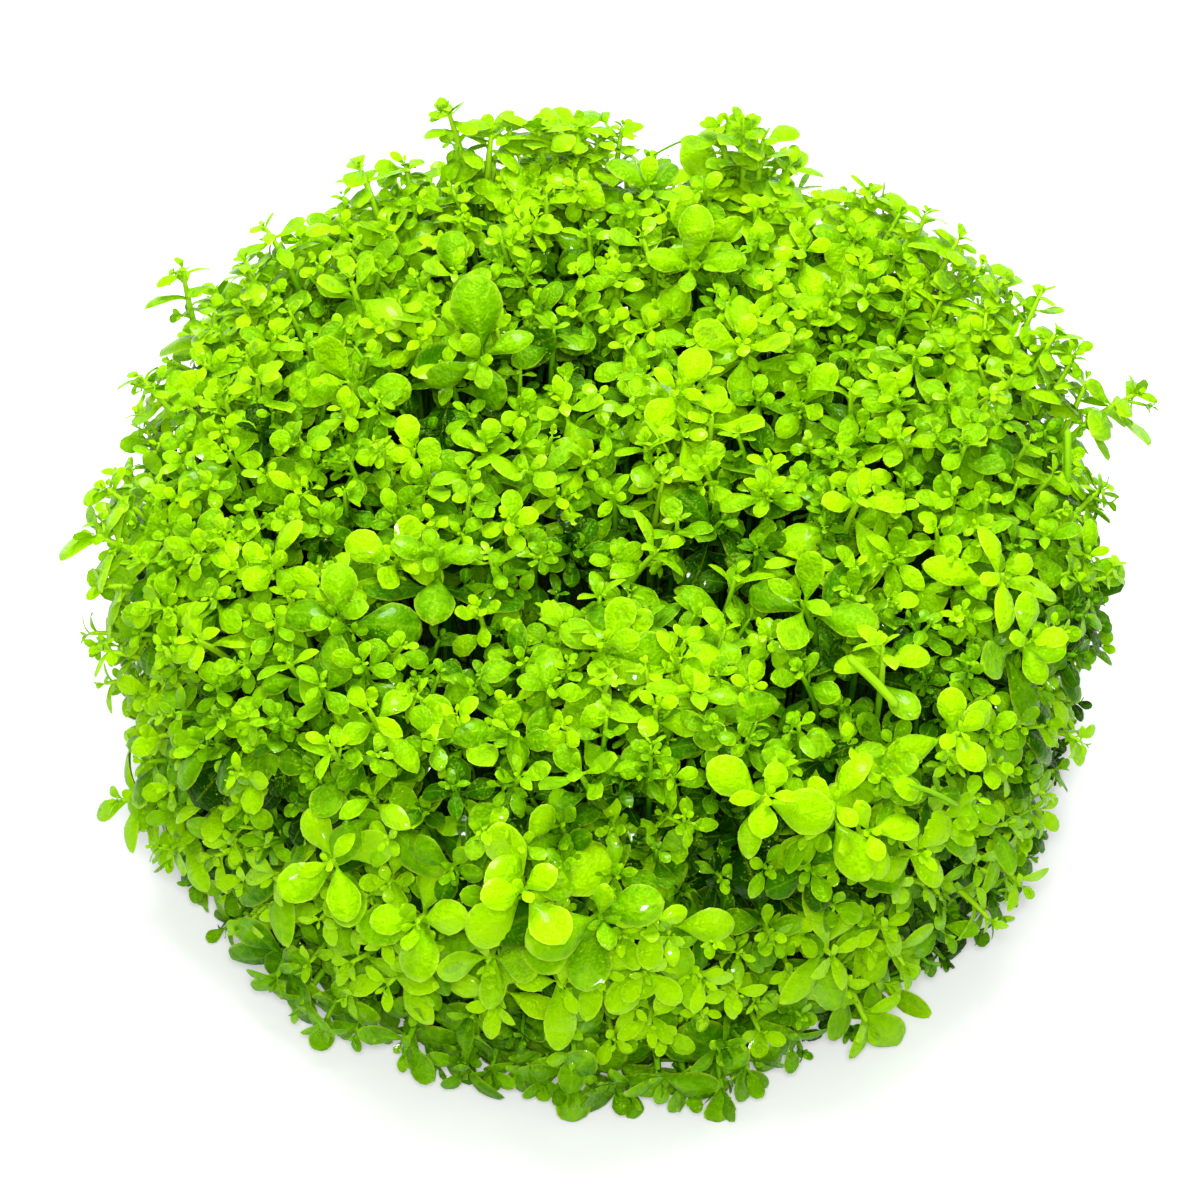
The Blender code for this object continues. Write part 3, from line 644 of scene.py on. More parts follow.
def blade_rows(count):
    """Rows across a leaf, each a place along it and a share of its width: a foot, then an egg shape."""
    rows = [(0.0, FOOT_WIDTH)]
    for k in range(1, count):
        turn = math.pi * k / count
        along = 0.5 - 0.5 * math.cos(turn)
        share = math.sin(turn) * (0.82 + 0.32 * along) * min(1.0, 0.28 + 1.4 * along)
        rows.append((FOOT_LENGTH + (1.0 - FOOT_LENGTH) * along, share))
    return rows


def blade_point(row, across, kind, side):
    """A point of the blade. across runs from -1 to 1; side is 1 on top, -1 underneath and 0 on the rim."""
    along, share = row
    half = 0.5 * kind["width"] * share * (1.0 - kind["point"] * along ** 6)
    height = kind["arch"] * math.sin(math.pi * along) - kind["droop"] * along * along
    height += kind["cup"] * half * across * across
    thick = kind["thickness"] * (0.55 + 0.45 * math.sin(math.pi * along))
    body = 1.0 - across * across
    height += (TOP_BELLY if side > 0 else -UNDER_BELLY) * thick * body
    if side > 0:
        height -= kind["groove"] * thick * max(0.0, 1.0 - 3.0 * abs(across)) * share
    return Vector((along, half * across, height))


def make_leaf(name, kind, rows, across_top, across_under):
    """A closed leaf as a mesh, with its chart: along and across the blade, and which side a face is on."""
    points, faces, unders, feet = [], [], [], []

    def add_point(point):
        points.append(point)
        return len(points) - 1

    rim_left = [add_point(blade_point(row, -1.0, kind, 0)) for row in rows]
    rim_right = [add_point(blade_point(row, 1.0, kind, 0)) for row in rows]
    tip = add_point(blade_point((1.0, 0.0), 0.0, kind, 0))
    for side, inner in ((1, across_top), (-1, across_under)):
        lines = [[(rim_left[r], rows[r][0], -1.0)] for r in range(len(rows))]
        for r, row in enumerate(rows):
            for across in inner:
                lines[r].append((add_point(blade_point(row, across, kind, side)), row[0], across))
            lines[r].append((rim_right[r], row[0], 1.0))
        for r in range(len(rows) - 1):
            for k in range(len(lines[r]) - 1):
                quad = [lines[r][k], lines[r + 1][k], lines[r + 1][k + 1], lines[r][k + 1]]
                faces.append(quad[::-1] if side > 0 else quad)
                unders.append(side < 0)
        for k in range(len(lines[-1]) - 1):
            middle = 0.5 * (lines[-1][k][2] + lines[-1][k + 1][2])
            fan = [lines[-1][k], (tip, 1.0, middle), lines[-1][k + 1]]
            faces.append(fan[::-1] if side > 0 else fan)
            unders.append(side < 0)
        feet.append(lines[0])
    faces.append(feet[0] + feet[1][1:-1][::-1])
    unders.append(True)
    mesh = bpy.data.meshes.new(name)
    mesh.from_pydata([p[:] for p in points], [], [[corner[0] for corner in face] for face in faces])
    chart = mesh.uv_layers.new(name="chart")
    for face, polygon in zip(faces, mesh.polygons):
        for corner, loop in zip(face, polygon.loop_indices):
            chart.data[loop].uv = (corner[1], 0.5 + 0.5 * corner[2])
    under = mesh.attributes.new("under", "FLOAT", "FACE")
    under.data.foreach_set("value", [1.0 if u else 0.0 for u in unders])
    mesh.shade_smooth()
    rim = set(rim_left) | set(rim_right) | {tip}
    sharp = mesh.attributes.new("sharp_edge", "BOOLEAN", "EDGE")
    sharp.data.foreach_set("value", [set(e.vertices) <= rim for e in mesh.edges])
    return bpy.data.objects.new(name, mesh)


# %% The kinds of leaves, each in five builds
KIND_WORDS = ("width", "point", "arch", "droop", "cup", "thickness", "groove")
KIND_ROWS = (
    (0.56, 0.08, 0.07, 0.10, -0.05, 0.17, 0.20),        # usual
    (0.64, 0.00, 0.09, 0.12, 0.02, 0.19, 0.16),         # rounder
    (0.46, 0.20, 0.08, 0.20, 0.12, 0.16, 0.30),         # longer
    (0.59, 0.05, -0.03, -0.08, 0.32, 0.16, 0.25),       # more cupped
)
LEAF_KINDS = [dict(zip(KIND_WORDS, row)) for row in KIND_ROWS]
NARROW_LEAF = 2

# Rows along the leaf, and the lines of points between its two rims, on top and underneath
LEAF_BUILDS = (
    (11, (-0.75, -0.4, 0.0, 0.4, 0.75), (0.0,)),
    (9, (-0.55, 0.0, 0.55), ()),
    (7, (0.0,), ()),
    (5, (0.0,), ()),
    (4, (0.0,), ()),
)
FINE_LEAF, BIG_LEAF, USUAL_LEAF, PLAIN_LEAF, TINY_LEAF = range(len(LEAF_BUILDS))
leaf_kinds = bpy.data.collections.new("leaf kinds")
for level, (count, across_top, across_under) in enumerate(LEAF_BUILDS):
    for number, kind in enumerate(LEAF_KINDS):
        leaf = make_leaf(f"leaf {level}{number}", kind, blade_rows(count), across_top, across_under)
        leaf_kinds.objects.link(leaf)
    leaf.data.calc_loop_triangles()
    print("a leaf of build", level, "has", len(leaf.data.loop_triangles), "triangles")

# %% [markdown]
# ## Leaf green and stem green
# The leaf's colour runs from a deep green on old leaves and painted-shaded ones to a yellow lime on young
# ones, so one ramp reads the leaf's tone, which also carries painted light and shade. Its rim is paler,
# partly as a painted highlight, and its underside duller. A thin leaf also glows when light falls on its
# back, which a
# Translucent shader beside the Principled one gives. The surface is finely pebbled and wet, so both greens
# share a group that makes that bump.

# %% Small helpers for node trees
def wire(node, **inputs):
    """Feeds inputs by name, with underscores for spaces: a socket is linked, anything else is a value."""
    for name, value in inputs.items():
        socket = node.inputs[name.replace("_", " ")]
        if isinstance(value, bpy.types.NodeSocket):
            node.id_data.links.new(value, socket)
        else:
            socket.default_value = value
    return node


def add_node(tree, kind, **values):
    """A new node. Names in small letters are its settings, and the others its inputs, as in wire."""
    node = tree.nodes.new(kind)
    for name in [name for name in values if name.islower()]:
        setattr(node, name, values.pop(name))
    return wire(node, **values)


def math_node(tree, operation, *values):
    """A Math node on up to three values, each a socket or a number, and its result."""
    node = add_node(tree, "ShaderNodeMath", operation=operation)
    for socket, value in zip(node.inputs, values):
        if isinstance(value, (int, float)):
            socket.default_value = value
        else:
            tree.links.new(value, socket)
    return node.outputs[0]


def times_plus(tree, value, factor, added):
    """The value times a factor, with something added."""
    return math_node(tree, "MULTIPLY_ADD", value, factor, added)


def held(tree, value, least, most):
    """The value, held between two limits."""
    return math_node(tree, "MINIMUM", math_node(tree, "MAXIMUM", value, least), most)


def mix_colours(tree, share, first, second):
    """A blend of two colours, each a socket or a colour, and its result."""
    node = add_node(tree, "ShaderNodeMix", data_type="RGBA")
    for socket, value in ((node.inputs[0], share), (node.inputs[6], first), (node.inputs[7], second)):
        if isinstance(value, (int, float)):
            socket.default_value = value
        elif isinstance(value, tuple):
            socket.default_value = (*value, 1.0)
        else:
            tree.links.new(value, socket)
    return node.outputs[2]


def ramp_colour(tree, stops, value):
    """The colour that a ramp with these stops gives a value."""
    node = add_node(tree, "ShaderNodeValToRGB")
    ramp = node.color_ramp
    while len(ramp.elements) < len(stops):
        ramp.elements.new(0.5)
    for element, (place, colour) in zip(ramp.elements, stops):
        element.position = place
        element.color = (*colour, 1.0)
    tree.links.new(value, node.inputs[0])
    return node.outputs[0]


def split_vector(tree, vector):
    """The three numbers of a vector."""
    return add_node(tree, "ShaderNodeSeparateXYZ", Vector=vector).outputs


def new_material(name):
    """A material with an empty node tree and its output node."""
    made = bpy.data.materials.new(name)
    made.use_nodes = True
    made.node_tree.nodes.clear()
    return made, made.node_tree, add_node(made.node_tree, "ShaderNodeOutputMaterial")


# %% The pebbled, wet surface that leaves and stems share
DRIFT_SCALE = 420.0         # of the slow drift of colour over the cushion
WIDE_PEBBLES = 0.40         # scale of the wider swells, as a share of that of the pebbles
WET_TINT = (0.45, 0.90, 0.02, 1.0)


def make_pebble_group():
    """Noise in two sizes on Object coordinates: a bump, a mottle that goes with it, and a slow drift."""
    tree = bpy.data.node_groups.new("pebbled surface", "ShaderNodeTree")
    tree.interface.new_socket("Pebble size", in_out="INPUT", socket_type="NodeSocketFloat")
    for name in ("Height", "Drift", "Mottle"):
        tree.interface.new_socket(name, in_out="OUTPUT", socket_type="NodeSocketFloat")
    scale = math_node(tree, "DIVIDE", 1.0, add_node(tree, "NodeGroupInput").outputs[0])
    wide = math_node(tree, "MULTIPLY", scale, WIDE_PEBBLES)
    place = add_node(tree, "ShaderNodeTexCoord").outputs["Object"]
    noises = [
        add_node(tree, "ShaderNodeTexNoise", Vector=place, Scale=size, Detail=0.0).outputs[0]
        for size in (scale, wide, DRIFT_SCALE)
    ]
    height = times_plus(tree, noises[1], 1.6, noises[0])
    mottle = times_plus(tree, height, 0.40, -0.02)
    add_node(tree, "NodeGroupOutput", Height=height, Drift=noises[2], Mottle=mottle)
    return tree


pebble_group = make_pebble_group()


def pebbled(tree, size, strength, depth):
    """The outputs of the pebble group at a size, and the bump it gives."""
    pebbles = add_node(tree, "ShaderNodeGroup", node_tree=pebble_group, Pebble_size=size).outputs
    bump = add_node(tree, "ShaderNodeBump", Strength=strength, Distance=depth, Height=pebbles["Height"])
    return pebbles, bump.outputs[0]


# %% Leaf green
LEAF_RAMP = (
    (0.00, (0.004, 0.045, 0.000)), (0.30, (0.045, 0.210, 0.000)), (0.60, (0.210, 0.540, 0.000)),
    (0.85, (0.350, 0.730, 0.000)), (1.00, (0.410, 0.800, 0.000)),
)
# Pale rim colour: partly the leaf's paler edge, partly a painted highlight
PALE_RIM_AND_HIGHLIGHT = (0.62, 0.92, 0.03)
UNDER_GREEN = (0.16, 0.36, 0.004)
UNDER_SHARE = 0.35
LEAF_PEBBLES, LEAF_BUMP = 0.00017, 0.00007      # metres
THROUGH_SHARE = 0.30        # how much of the light shines through a leaf


def make_leaf_green():
    made, tree, output = new_material("leaf green")
    pebbles, bump = pebbled(tree, LEAF_PEBBLES, 1.0, LEAF_BUMP)
    drift = pebbles["Drift"]
    tone = add_node(tree, "ShaderNodeAttribute", attribute_name="tone").outputs["Fac"]
    under = add_node(tree, "ShaderNodeAttribute", attribute_name="under").outputs["Fac"]
    along, side, _ = split_vector(tree, add_node(tree, "ShaderNodeUVMap", uv_map="chart").outputs[0])
    across = math_node(tree, "ABSOLUTE", times_plus(tree, side, 2.0, -1.0))

    # Painted light towards the tip, painted shade towards the foot and the rim, and mottled
    place = times_plus(tree, along, 0.14, times_plus(tree, drift, 0.30, -0.24))
    place = times_plus(tree, math_node(tree, "POWER", across, 2.0), -0.10, place)
    place = times_plus(tree, pebbles["Mottle"], 0.30, place)
    place = math_node(tree, "SUBTRACT", math_node(tree, "ADD", tone, place), 0.13)
    green = ramp_colour(tree, LEAF_RAMP, place)

    # A pale rim and tip where the leaf is bright, partly a paler edge and partly a painted highlight, and a
    # faint rib
    tip = math_node(tree, "MAXIMUM", times_plus(tree, along, 14.0, -13.2), 0.0)
    rim = math_node(tree, "MAXIMUM", math_node(tree, "POWER", across, 12.0), tip)
    rim = math_node(tree, "MULTIPLY", rim, held(tree, times_plus(tree, tone, 1.0, 0.05), 0.0, 0.8))
    rib = math_node(tree, "SUBTRACT", 1.0, math_node(tree, "MULTIPLY", across, 9.0))
    rib = math_node(tree, "MULTIPLY", math_node(tree, "MAXIMUM", rib, 0.0), 0.14)
    top = mix_colours(tree, math_node(tree, "ADD", rim, rib), green, PALE_RIM_AND_HIGHLIGHT)
    colour = mix_colours(tree, under, top, mix_colours(tree, UNDER_SHARE, green, UNDER_GREEN))

    # Wet in places, and light shines through
    wet = held(tree, times_plus(tree, drift, 12.0, -7.7), 0.0, 0.5)
    shader = add_node(
        tree, "ShaderNodeBsdfPrincipled", Base_Color=colour, Normal=bump, Specular_Tint=WET_TINT,
        Roughness=times_plus(tree, drift, 0.30, 0.12), Specular_IOR_Level=0.40, Coat_Weight=wet,
        Coat_Roughness=0.08,
    )
    through = add_node(tree, "ShaderNodeBsdfTranslucent", Color=colour)
    blend = add_node(tree, "ShaderNodeMixShader", Fac=THROUGH_SHARE)
    tree.links.new(shader.outputs[0], blend.inputs[1])
    tree.links.new(through.outputs[0], blend.inputs[2])
    wire(output, Surface=blend.outputs[0])
    return made


# %% Stem green
STEM_RAMP = ((0.0, (0.012, 0.08, 0.001)), (0.5, (0.12, 0.38, 0.002)), (1.0, (0.38, 0.70, 0.01)))
STEM_PEBBLES, STEM_BUMP = 0.00030, 0.00005      # metres


def make_stem_green():
    made, tree, output = new_material("stem green")
    pebbles, bump = pebbled(tree, STEM_PEBBLES, 0.3, STEM_BUMP)
    tone = add_node(tree, "ShaderNodeAttribute", attribute_name="tone").outputs["Fac"]
    place = math_node(tree, "ADD", tone, times_plus(tree, pebbles["Drift"], 0.30, -0.10))
    green = ramp_colour(tree, STEM_RAMP, place)
    shader = add_node(
        tree, "ShaderNodeBsdfPrincipled", Base_Color=green, Normal=bump, Specular_Tint=WET_TINT,
        Roughness=0.42, Specular_IOR_Level=0.25,
    )
    wire(output, Surface=shader.outputs[0])
    return made


leaf_green = make_leaf_green()
stem_green = make_stem_green()
print("materials:", leaf_green.name, "and", stem_green.name)

# %% [markdown]
# ## Leaves on stems, with Geometry Nodes
# The chains of points go in as a mesh of loose edges. One branch of the tree makes them curves and gives
# them a round section. The other doubles each point that carries a pair, turns one copy by half a circle,
# opens the leaf away from the stem and puts a leaf kind there, so both leaves of a pair face each other.
# A leaf lies along +X with its top to +Z, and the stem runs along +Z: opening it is a turn about Y.
#
# Every leaf and stem also gets a cell of its own in a square grid. It is the map on which the export
# paints the colours, so no two leaves share a spot.

# %% Steps of the tree
X_AXIS, Y_AXIS, Z_AXIS = (1.0, 0.0, 0.0), (0.0, 1.0, 0.0), (0.0, 0.0, 1.0)
LIGHT_FROM = (0.0, -0.25, 1.0)
WELD = 0.002 * MM
CELL_INSET, CELL_WIDTH = 0.05, 0.90             # of a leaf in its cell of the map
HALF_INSET, HALF_HEIGHT = 0.04, 0.42            # of its top in the cell's lower half


def new_tree(name, sockets):
    """A Geometry Nodes tree with these inputs and one geometry output."""
    tree = bpy.data.node_groups.new(name, "GeometryNodeTree")
    tree.interface.new_socket("Geometry", in_out="INPUT", socket_type="NodeSocketGeometry")
    for label, kind in sockets:
        tree.interface.new_socket(label, in_out="INPUT", socket_type=f"NodeSocket{kind}")
    tree.interface.new_socket("Geometry", in_out="OUTPUT", socket_type="NodeSocketGeometry")
    return tree, add_node(tree, "NodeGroupInput"), add_node(tree, "NodeGroupOutput")


def read_attribute(tree, name, kind="FLOAT"):
    return add_node(tree, "GeometryNodeInputNamedAttribute", data_type=kind, Name=name).outputs["Attribute"]


def store_attribute(tree, geometry, name, value, kind, domain):
    node = add_node(tree, "GeometryNodeStoreNamedAttribute", data_type=kind, domain=domain)
    return wire(node, Geometry=geometry, Name=name, Value=value).outputs[0]


def join_vector(tree, **values):
    return add_node(tree, "ShaderNodeCombineXYZ", **values).outputs[0]


def set_material(tree, geometry, material):
    return add_node(tree, "GeometryNodeSetMaterial", Geometry=geometry, Material=material).outputs[0]


def random_between(tree, spread, seed, offset):
    """A random number between minus and plus spread."""
    own_seed = math_node(tree, "ADD", seed, float(offset))
    node = add_node(tree, "FunctionNodeRandomValue", data_type="FLOAT", Seed=own_seed)
    tree.links.new(math_node(tree, "MULTIPLY", spread, -1.0), node.inputs[2])
    tree.links.new(spread, node.inputs[3])
    return node.outputs[1]


def turned(tree, rotation, axis, angle):
    """The rotation, turned further by an angle about one of its own axes."""
    step = add_node(tree, "FunctionNodeAxisAngleToRotation", Axis=axis, Angle=angle).outputs[0]
    both = add_node(tree, "FunctionNodeRotateRotation", rotation_space="LOCAL")
    return wire(both, Rotation=rotation, Rotate_By=step).outputs[0]


def leaf_rotation(tree, given, copy):
    """Turn of a leaf about its stem, its opening, a pull to the light and a roll about itself."""
    seed = given["Seed"]
    heading = read_attribute(tree, "heading", "FLOAT_VECTOR")
    along = add_node(tree, "FunctionNodeAlignRotationToVector", axis="Z", Vector=heading)
    half_turn = math_node(tree, "MULTIPLY", copy, math.pi)
    turn = math_node(tree, "ADD", read_attribute(tree, "turn"), half_turn)
    turn = math_node(tree, "ADD", turn, random_between(tree, given["Turn scatter"], seed, 1))
    opening = math_node(tree, "SUBTRACT", read_attribute(tree, "opening"), 0.5 * math.pi)
    opening = math_node(tree, "ADD", opening, random_between(tree, given["Opening scatter"], seed, 2))
    rotation = turned(tree, along.outputs[0], Z_AXIS, turn)
    rotation = turned(tree, rotation, Y_AXIS, opening)
    to_light = add_node(tree, "FunctionNodeAlignRotationToVector", axis="Z")
    wire(to_light, Vector=LIGHT_FROM, Rotation=rotation, Factor=given["Turn to light"])
    roll = random_between(tree, given["Roll scatter"], seed, 3)
    return turned(tree, to_light.outputs[0], X_AXIS, roll)


def place_leaves(tree, given):
    """One leaf kind on each of two points for a pair, as instances."""
    doubled = add_node(
        tree, "GeometryNodeDuplicateElements", domain="POINT", Geometry=given["Geometry"],
        Amount=read_attribute(tree, "leaves", "INT"),
    ).outputs
    drift = random_between(tree, given["Tone scatter"], given["Seed"], 5)
    tone = math_node(tree, "ADD", read_attribute(tree, "tone"), drift)
    pairs = store_attribute(tree, doubled["Geometry"], "tone", tone, "FLOAT", "POINT")
    rotation = leaf_rotation(tree, given, doubled["Duplicate Index"])
    bigger = random_between(tree, given["Size scatter"], given["Seed"], 4)
    bigger = math_node(tree, "ADD", bigger, 1.0)
    kinds = add_node(
        tree, "GeometryNodeCollectionInfo", transform_space="ORIGINAL", Collection=given["Leaf kinds"],
        Separate_Children=True, Reset_Children=True,
    ).outputs[0]
    return add_node(
        tree, "GeometryNodeInstanceOnPoints", Points=pairs, Instance=kinds, Pick_Instance=True,
        Instance_Index=read_attribute(tree, "kind", "INT"), Rotation=rotation,
        Scale=math_node(tree, "MULTIPLY", read_attribute(tree, "length"), bigger),
    ).outputs[0]


def rest_on_ground(tree, geometry, soft):
    """Bends up what is lower than the soft height, so that nothing passes through the ground."""
    place = add_node(tree, "GeometryNodeInputPosition").outputs[0]
    height = split_vector(tree, place)[2]
    under_soft = math_node(tree, "SUBTRACT", height, soft)
    bent = math_node(tree, "EXPONENT", math_node(tree, "DIVIDE", under_soft, soft))
    bent = math_node(tree, "MULTIPLY", bent, soft)
    low = math_node(tree, "LESS_THAN", under_soft, 0.0)
    raised = math_node(tree, "MULTIPLY", low, math_node(tree, "SUBTRACT", bent, height))
    lift = join_vector(tree, Z=raised)
    return add_node(tree, "GeometryNodeSetPosition", Geometry=geometry, Offset=lift).outputs[0]


def round_stems(tree, given, cell):
    """Round stems, open along a seam at first so that their chart doesn't fold back, then welded."""
    curves = add_node(tree, "GeometryNodeMeshToCurve", Mesh=given["Geometry"]).outputs[0]
    share = add_node(tree, "GeometryNodeSplineParameter").outputs["Factor"]
    marked = store_attribute(tree, curves, "cell", cell, "INT", "CURVE")
    marked = store_attribute(tree, marked, "along", share, "FLOAT", "POINT")
    radius = read_attribute(tree, "radius")
    thick = add_node(tree, "GeometryNodeSetCurveRadius", Curve=marked, Radius=radius).outputs[0]
    sides = math_node(tree, "ADD", given["Stem sides"], 1.0)
    section = add_node(tree, "GeometryNodeCurveArc", Radius=1.0, Sweep_Angle=2.0 * math.pi, Resolution=sides)
    section = store_attribute(tree, section.outputs[0], "round", share, "FLOAT", "POINT")
    tubes = add_node(tree, "GeometryNodeCurveToMesh", Curve=thick, Profile_Curve=section, Scale=radius)
    chart = join_vector(tree, X=read_attribute(tree, "along"), Y=read_attribute(tree, "round"))
    charted = store_attribute(tree, tubes.outputs[0], "chart", chart, "FLOAT2", "CORNER")
    return add_node(tree, "GeometryNodeMergeByDistance", Geometry=charted, Distance=WELD).outputs[0]


def map_to_cells(tree, geometry, in_a_row):
    """Gives each leaf and stem its own cell of the export's map, with its underside in the upper half."""
    along, side, _ = split_vector(tree, read_attribute(tree, "chart", "FLOAT_VECTOR"))
    cell = read_attribute(tree, "cell", "INT")
    row = math_node(tree, "DIVIDE", math_node(tree, "ADD", cell, 0.5), in_a_row)
    row = math_node(tree, "FLOOR", row)
    column = math_node(tree, "SUBTRACT", cell, math_node(tree, "MULTIPLY", row, in_a_row))
    x = math_node(tree, "ADD", column, times_plus(tree, along, CELL_WIDTH, CELL_INSET))
    half = math_node(tree, "MULTIPLY", read_attribute(tree, "under"), 0.5)
    inside = times_plus(tree, side, HALF_HEIGHT, HALF_INSET)
    y = math_node(tree, "ADD", row, math_node(tree, "ADD", half, inside))
    x, y = math_node(tree, "DIVIDE", x, in_a_row), math_node(tree, "DIVIDE", y, in_a_row)
    spot = join_vector(tree, X=x, Y=y)
    return store_attribute(tree, geometry, "OFBake", spot, "FLOAT2", "CORNER")


# %% The tree of nodes
SPRIG_INPUTS = (
    ("Leaf kinds", "Collection"), ("Leaf green", "Material"), ("Stem green", "Material"),
    ("Stem sides", "Int"), ("Turn scatter", "Float"), ("Roll scatter", "Float"),
    ("Opening scatter", "Float"), ("Size scatter", "Float"), ("Tone scatter", "Float"),
    ("Turn to light", "Float"), ("Soft ground", "Float"), ("Seed", "Int"), ("Cells in a row", "Int"),
)


def make_sprig_tree():
    """Leaves and stems, each in its own material and its own cell of the map, joined and smooth."""
    tree, entry, leave = new_tree("leafy stems", SPRIG_INPUTS)
    given = entry.outputs
    index = add_node(tree, "GeometryNodeInputIndex").outputs[0]
    leaves = place_leaves(tree, given)
    numbered = store_attribute(tree, leaves, "cell", index, "INT", "INSTANCE")
    real = add_node(tree, "GeometryNodeRealizeInstances", Geometry=numbered).outputs[0]
    rested = rest_on_ground(tree, real, given["Soft ground"])
    leaf_count = add_node(tree, "GeometryNodeAttributeDomainSize", component="INSTANCES", Geometry=leaves)
    stem_cell = math_node(tree, "ADD", index, leaf_count.outputs["Instance Count"])
    green_stems = set_material(tree, round_stems(tree, given, stem_cell), given["Stem green"])
    both = add_node(tree, "GeometryNodeJoinGeometry", Geometry=green_stems)
    wire(both, Geometry=set_material(tree, rested, given["Leaf green"]))
    smooth = add_node(tree, "GeometryNodeSetShadeSmooth", Geometry=both.outputs[0]).outputs[0]
    wire(leave, Geometry=map_to_cells(tree, smooth, given["Cells in a row"]))
    return tree


sprig_tree = make_sprig_tree()
print("the tree has", len(sprig_tree.nodes), "nodes")

# %% [markdown]
# ## One piece for each tuft
# The chains of a tuft become one mesh of loose edges with an attribute for each thing a point knows. The
# modifier turns it into stems and leaves, and a plain mesh is made of the result.

# %% From chains to a finished tuft
POINT_VALUES = ("turn", "length", "opening", "tone", "radius")
SIZES = ("length", "radius")                        # the ones in millimetres
FINE_LENGTH, BIG_LENGTH, TINY_LENGTH = 3.5, 2.6, 0.9
STEM_END = 0.0005                                   # radius, so that a stem closes at its ends
SPRIG_VALUES = {
    "Leaf kinds": leaf_kinds, "Leaf green": leaf_green, "Stem green": stem_green, "Stem sides": 5,
    "Soft ground": 1.2 * MM,
}
LEAF_SCATTER = {
    "Turn scatter": 0.35, "Roll scatter": 0.45, "Opening scatter": 0.36, "Size scatter": 0.24,
    "Tone scatter": 0.10, "Turn to light": 0.32,
}
KEPT_ATTRIBUTES = {
    "tone", "under", "chart", "OFBake", "sharp_edge", "position", ".edge_verts", ".corner_vert",
    ".corner_edge", "material_index", "sharp_face",
}


def leaf_kind(point, dice):
    """Index of a leaf kind: the finer builds where a leaf is big and seen."""
    level = TINY_LEAF if point["length"] < TINY_LENGTH else PLAIN_LEAF
    if point["age"] > 0 and point["seen"]:
        level = BIG_LEAF if point["length"] > BIG_LENGTH else USUAL_LEAF
        level = FINE_LEAF if point["length"] > FINE_LENGTH else level
    number = dice.randrange(len(LEAF_KINDS))
    return len(LEAF_KINDS) * level + (NARROW_LEAF if point["narrow"] else number)


def chain_mesh(name, chains, dice):
    """All chains as one mesh of loose edges, with what each point carries."""
    points, edges = [], []
    for chain in chains:
        edges += [(len(points) + k, len(points) + k + 1) for k in range(len(chain) - 1)]
        points += chain
        chain[0]["radius"] = chain[-1]["radius"] = STEM_END
    mesh = bpy.data.meshes.new(name)
    mesh.from_pydata([(p["place"] * MM)[:] for p in points], edges, [])

    def store(label, kind, field, values):
        mesh.attributes.new(label, kind, "POINT").data.foreach_set(field, values)

    for label in POINT_VALUES:
        scale = MM if label in SIZES else 1.0
        store(label, "FLOAT", "value", [p[label] * scale for p in points])
    store("heading", "FLOAT_VECTOR", "vector", [c for p in points for c in p["heading"]])
    store("leaves", "INT", "value", [p["leaves"] for p in points])
    store("kind", "INT", "value", [leaf_kind(p, dice) for p in points])
    return mesh, sum(p["leaves"] for p in points) + len(chains)


def run_tree(name, mesh, tree, values):
    """A plain mesh object from what a tree makes of a mesh."""
    source = bpy.data.objects.new(f"{name} source", mesh)
    bpy.context.scene.collection.objects.link(source)
    step = source.modifiers.new("grow", "NODES")
    step.node_group = tree
    sockets = {item.name: item.identifier for item in tree.interface.items_tree if item.in_out == "INPUT"}
    for label, value in values.items():
        step[sockets[label]] = value
    ready = source.evaluated_get(bpy.context.evaluated_depsgraph_get())
    grown = bpy.data.meshes.new_from_object(ready)
    source.modifiers.clear()
    bpy.data.objects.remove(source)
    grown.name = name
    made = bpy.data.objects.new(name, grown)
    bpy.context.scene.collection.objects.link(made)
    return made


def make_sprigs(name, chains, dice, seed, scatter):
    """The stems and leaves of some chains, as one object."""
    mesh, cells = chain_mesh(f"{name} chains", chains, dice)
    values = {**SPRIG_VALUES, **scatter, "Seed": seed, "Cells in a row": math.ceil(math.sqrt(cells))}
    return run_tree(name, mesh, sprig_tree, values)


def make_tuft(number, name, chains):
    """The stems and leaves of one tuft as one piece."""
    tuft = make_sprigs(f"{name}_leafy", chains, random.Random(500 + number), 20 * number, LEAF_SCATTER)
    for attribute in [a.name for a in tuft.data.attributes if a.name not in KEPT_ATTRIBUTES]:
        tuft.data.attributes.remove(tuft.data.attributes[attribute])
    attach(tuft, "root")
    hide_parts(name)
    return tuft


total_triangles = 0
for number, (name, place) in enumerate(SEATS):
    tuft = make_tuft(number, name, grown_by_tuft[name])
    tuft.data.calc_loop_triangles()
    total_triangles += len(tuft.data.loop_triangles)
print("triangles in the tufts:", total_triangles)

# %% [markdown]
# ## The foot mat
# All stems rise from a thin mat of creeping stems and fine roots, and the cushion was cut off flat under it.
# Little of it shows: its edge between the lowest leaves, and its cut face from below. So it is a flat disc
# with an uneven edge in a fibrous finish, and the same tree that makes the upright stems lays runners over
# it, this time from chains that wander about and carry no leaves.

# %% Finish of the mat
FELT_RAMP = ((0.25, (0.010, 0.030, 0.001)), (0.55, (0.035, 0.080, 0.005)), (0.80, (0.110, 0.170, 0.020)))
CUT_STEM = (0.36, 0.46, 0.12)
FIBRE_SCALE, CUT_END_SCALE = 900.0, 560.0
CUT_END_EDGE = (0.36, 0.28)         # how far from a cell's middle the pale end begins and is full
CUT_END_LIMIT = 0.45                # a cell with a random number over this has a pale end
FELT_BUMP = 0.0002                  # metres


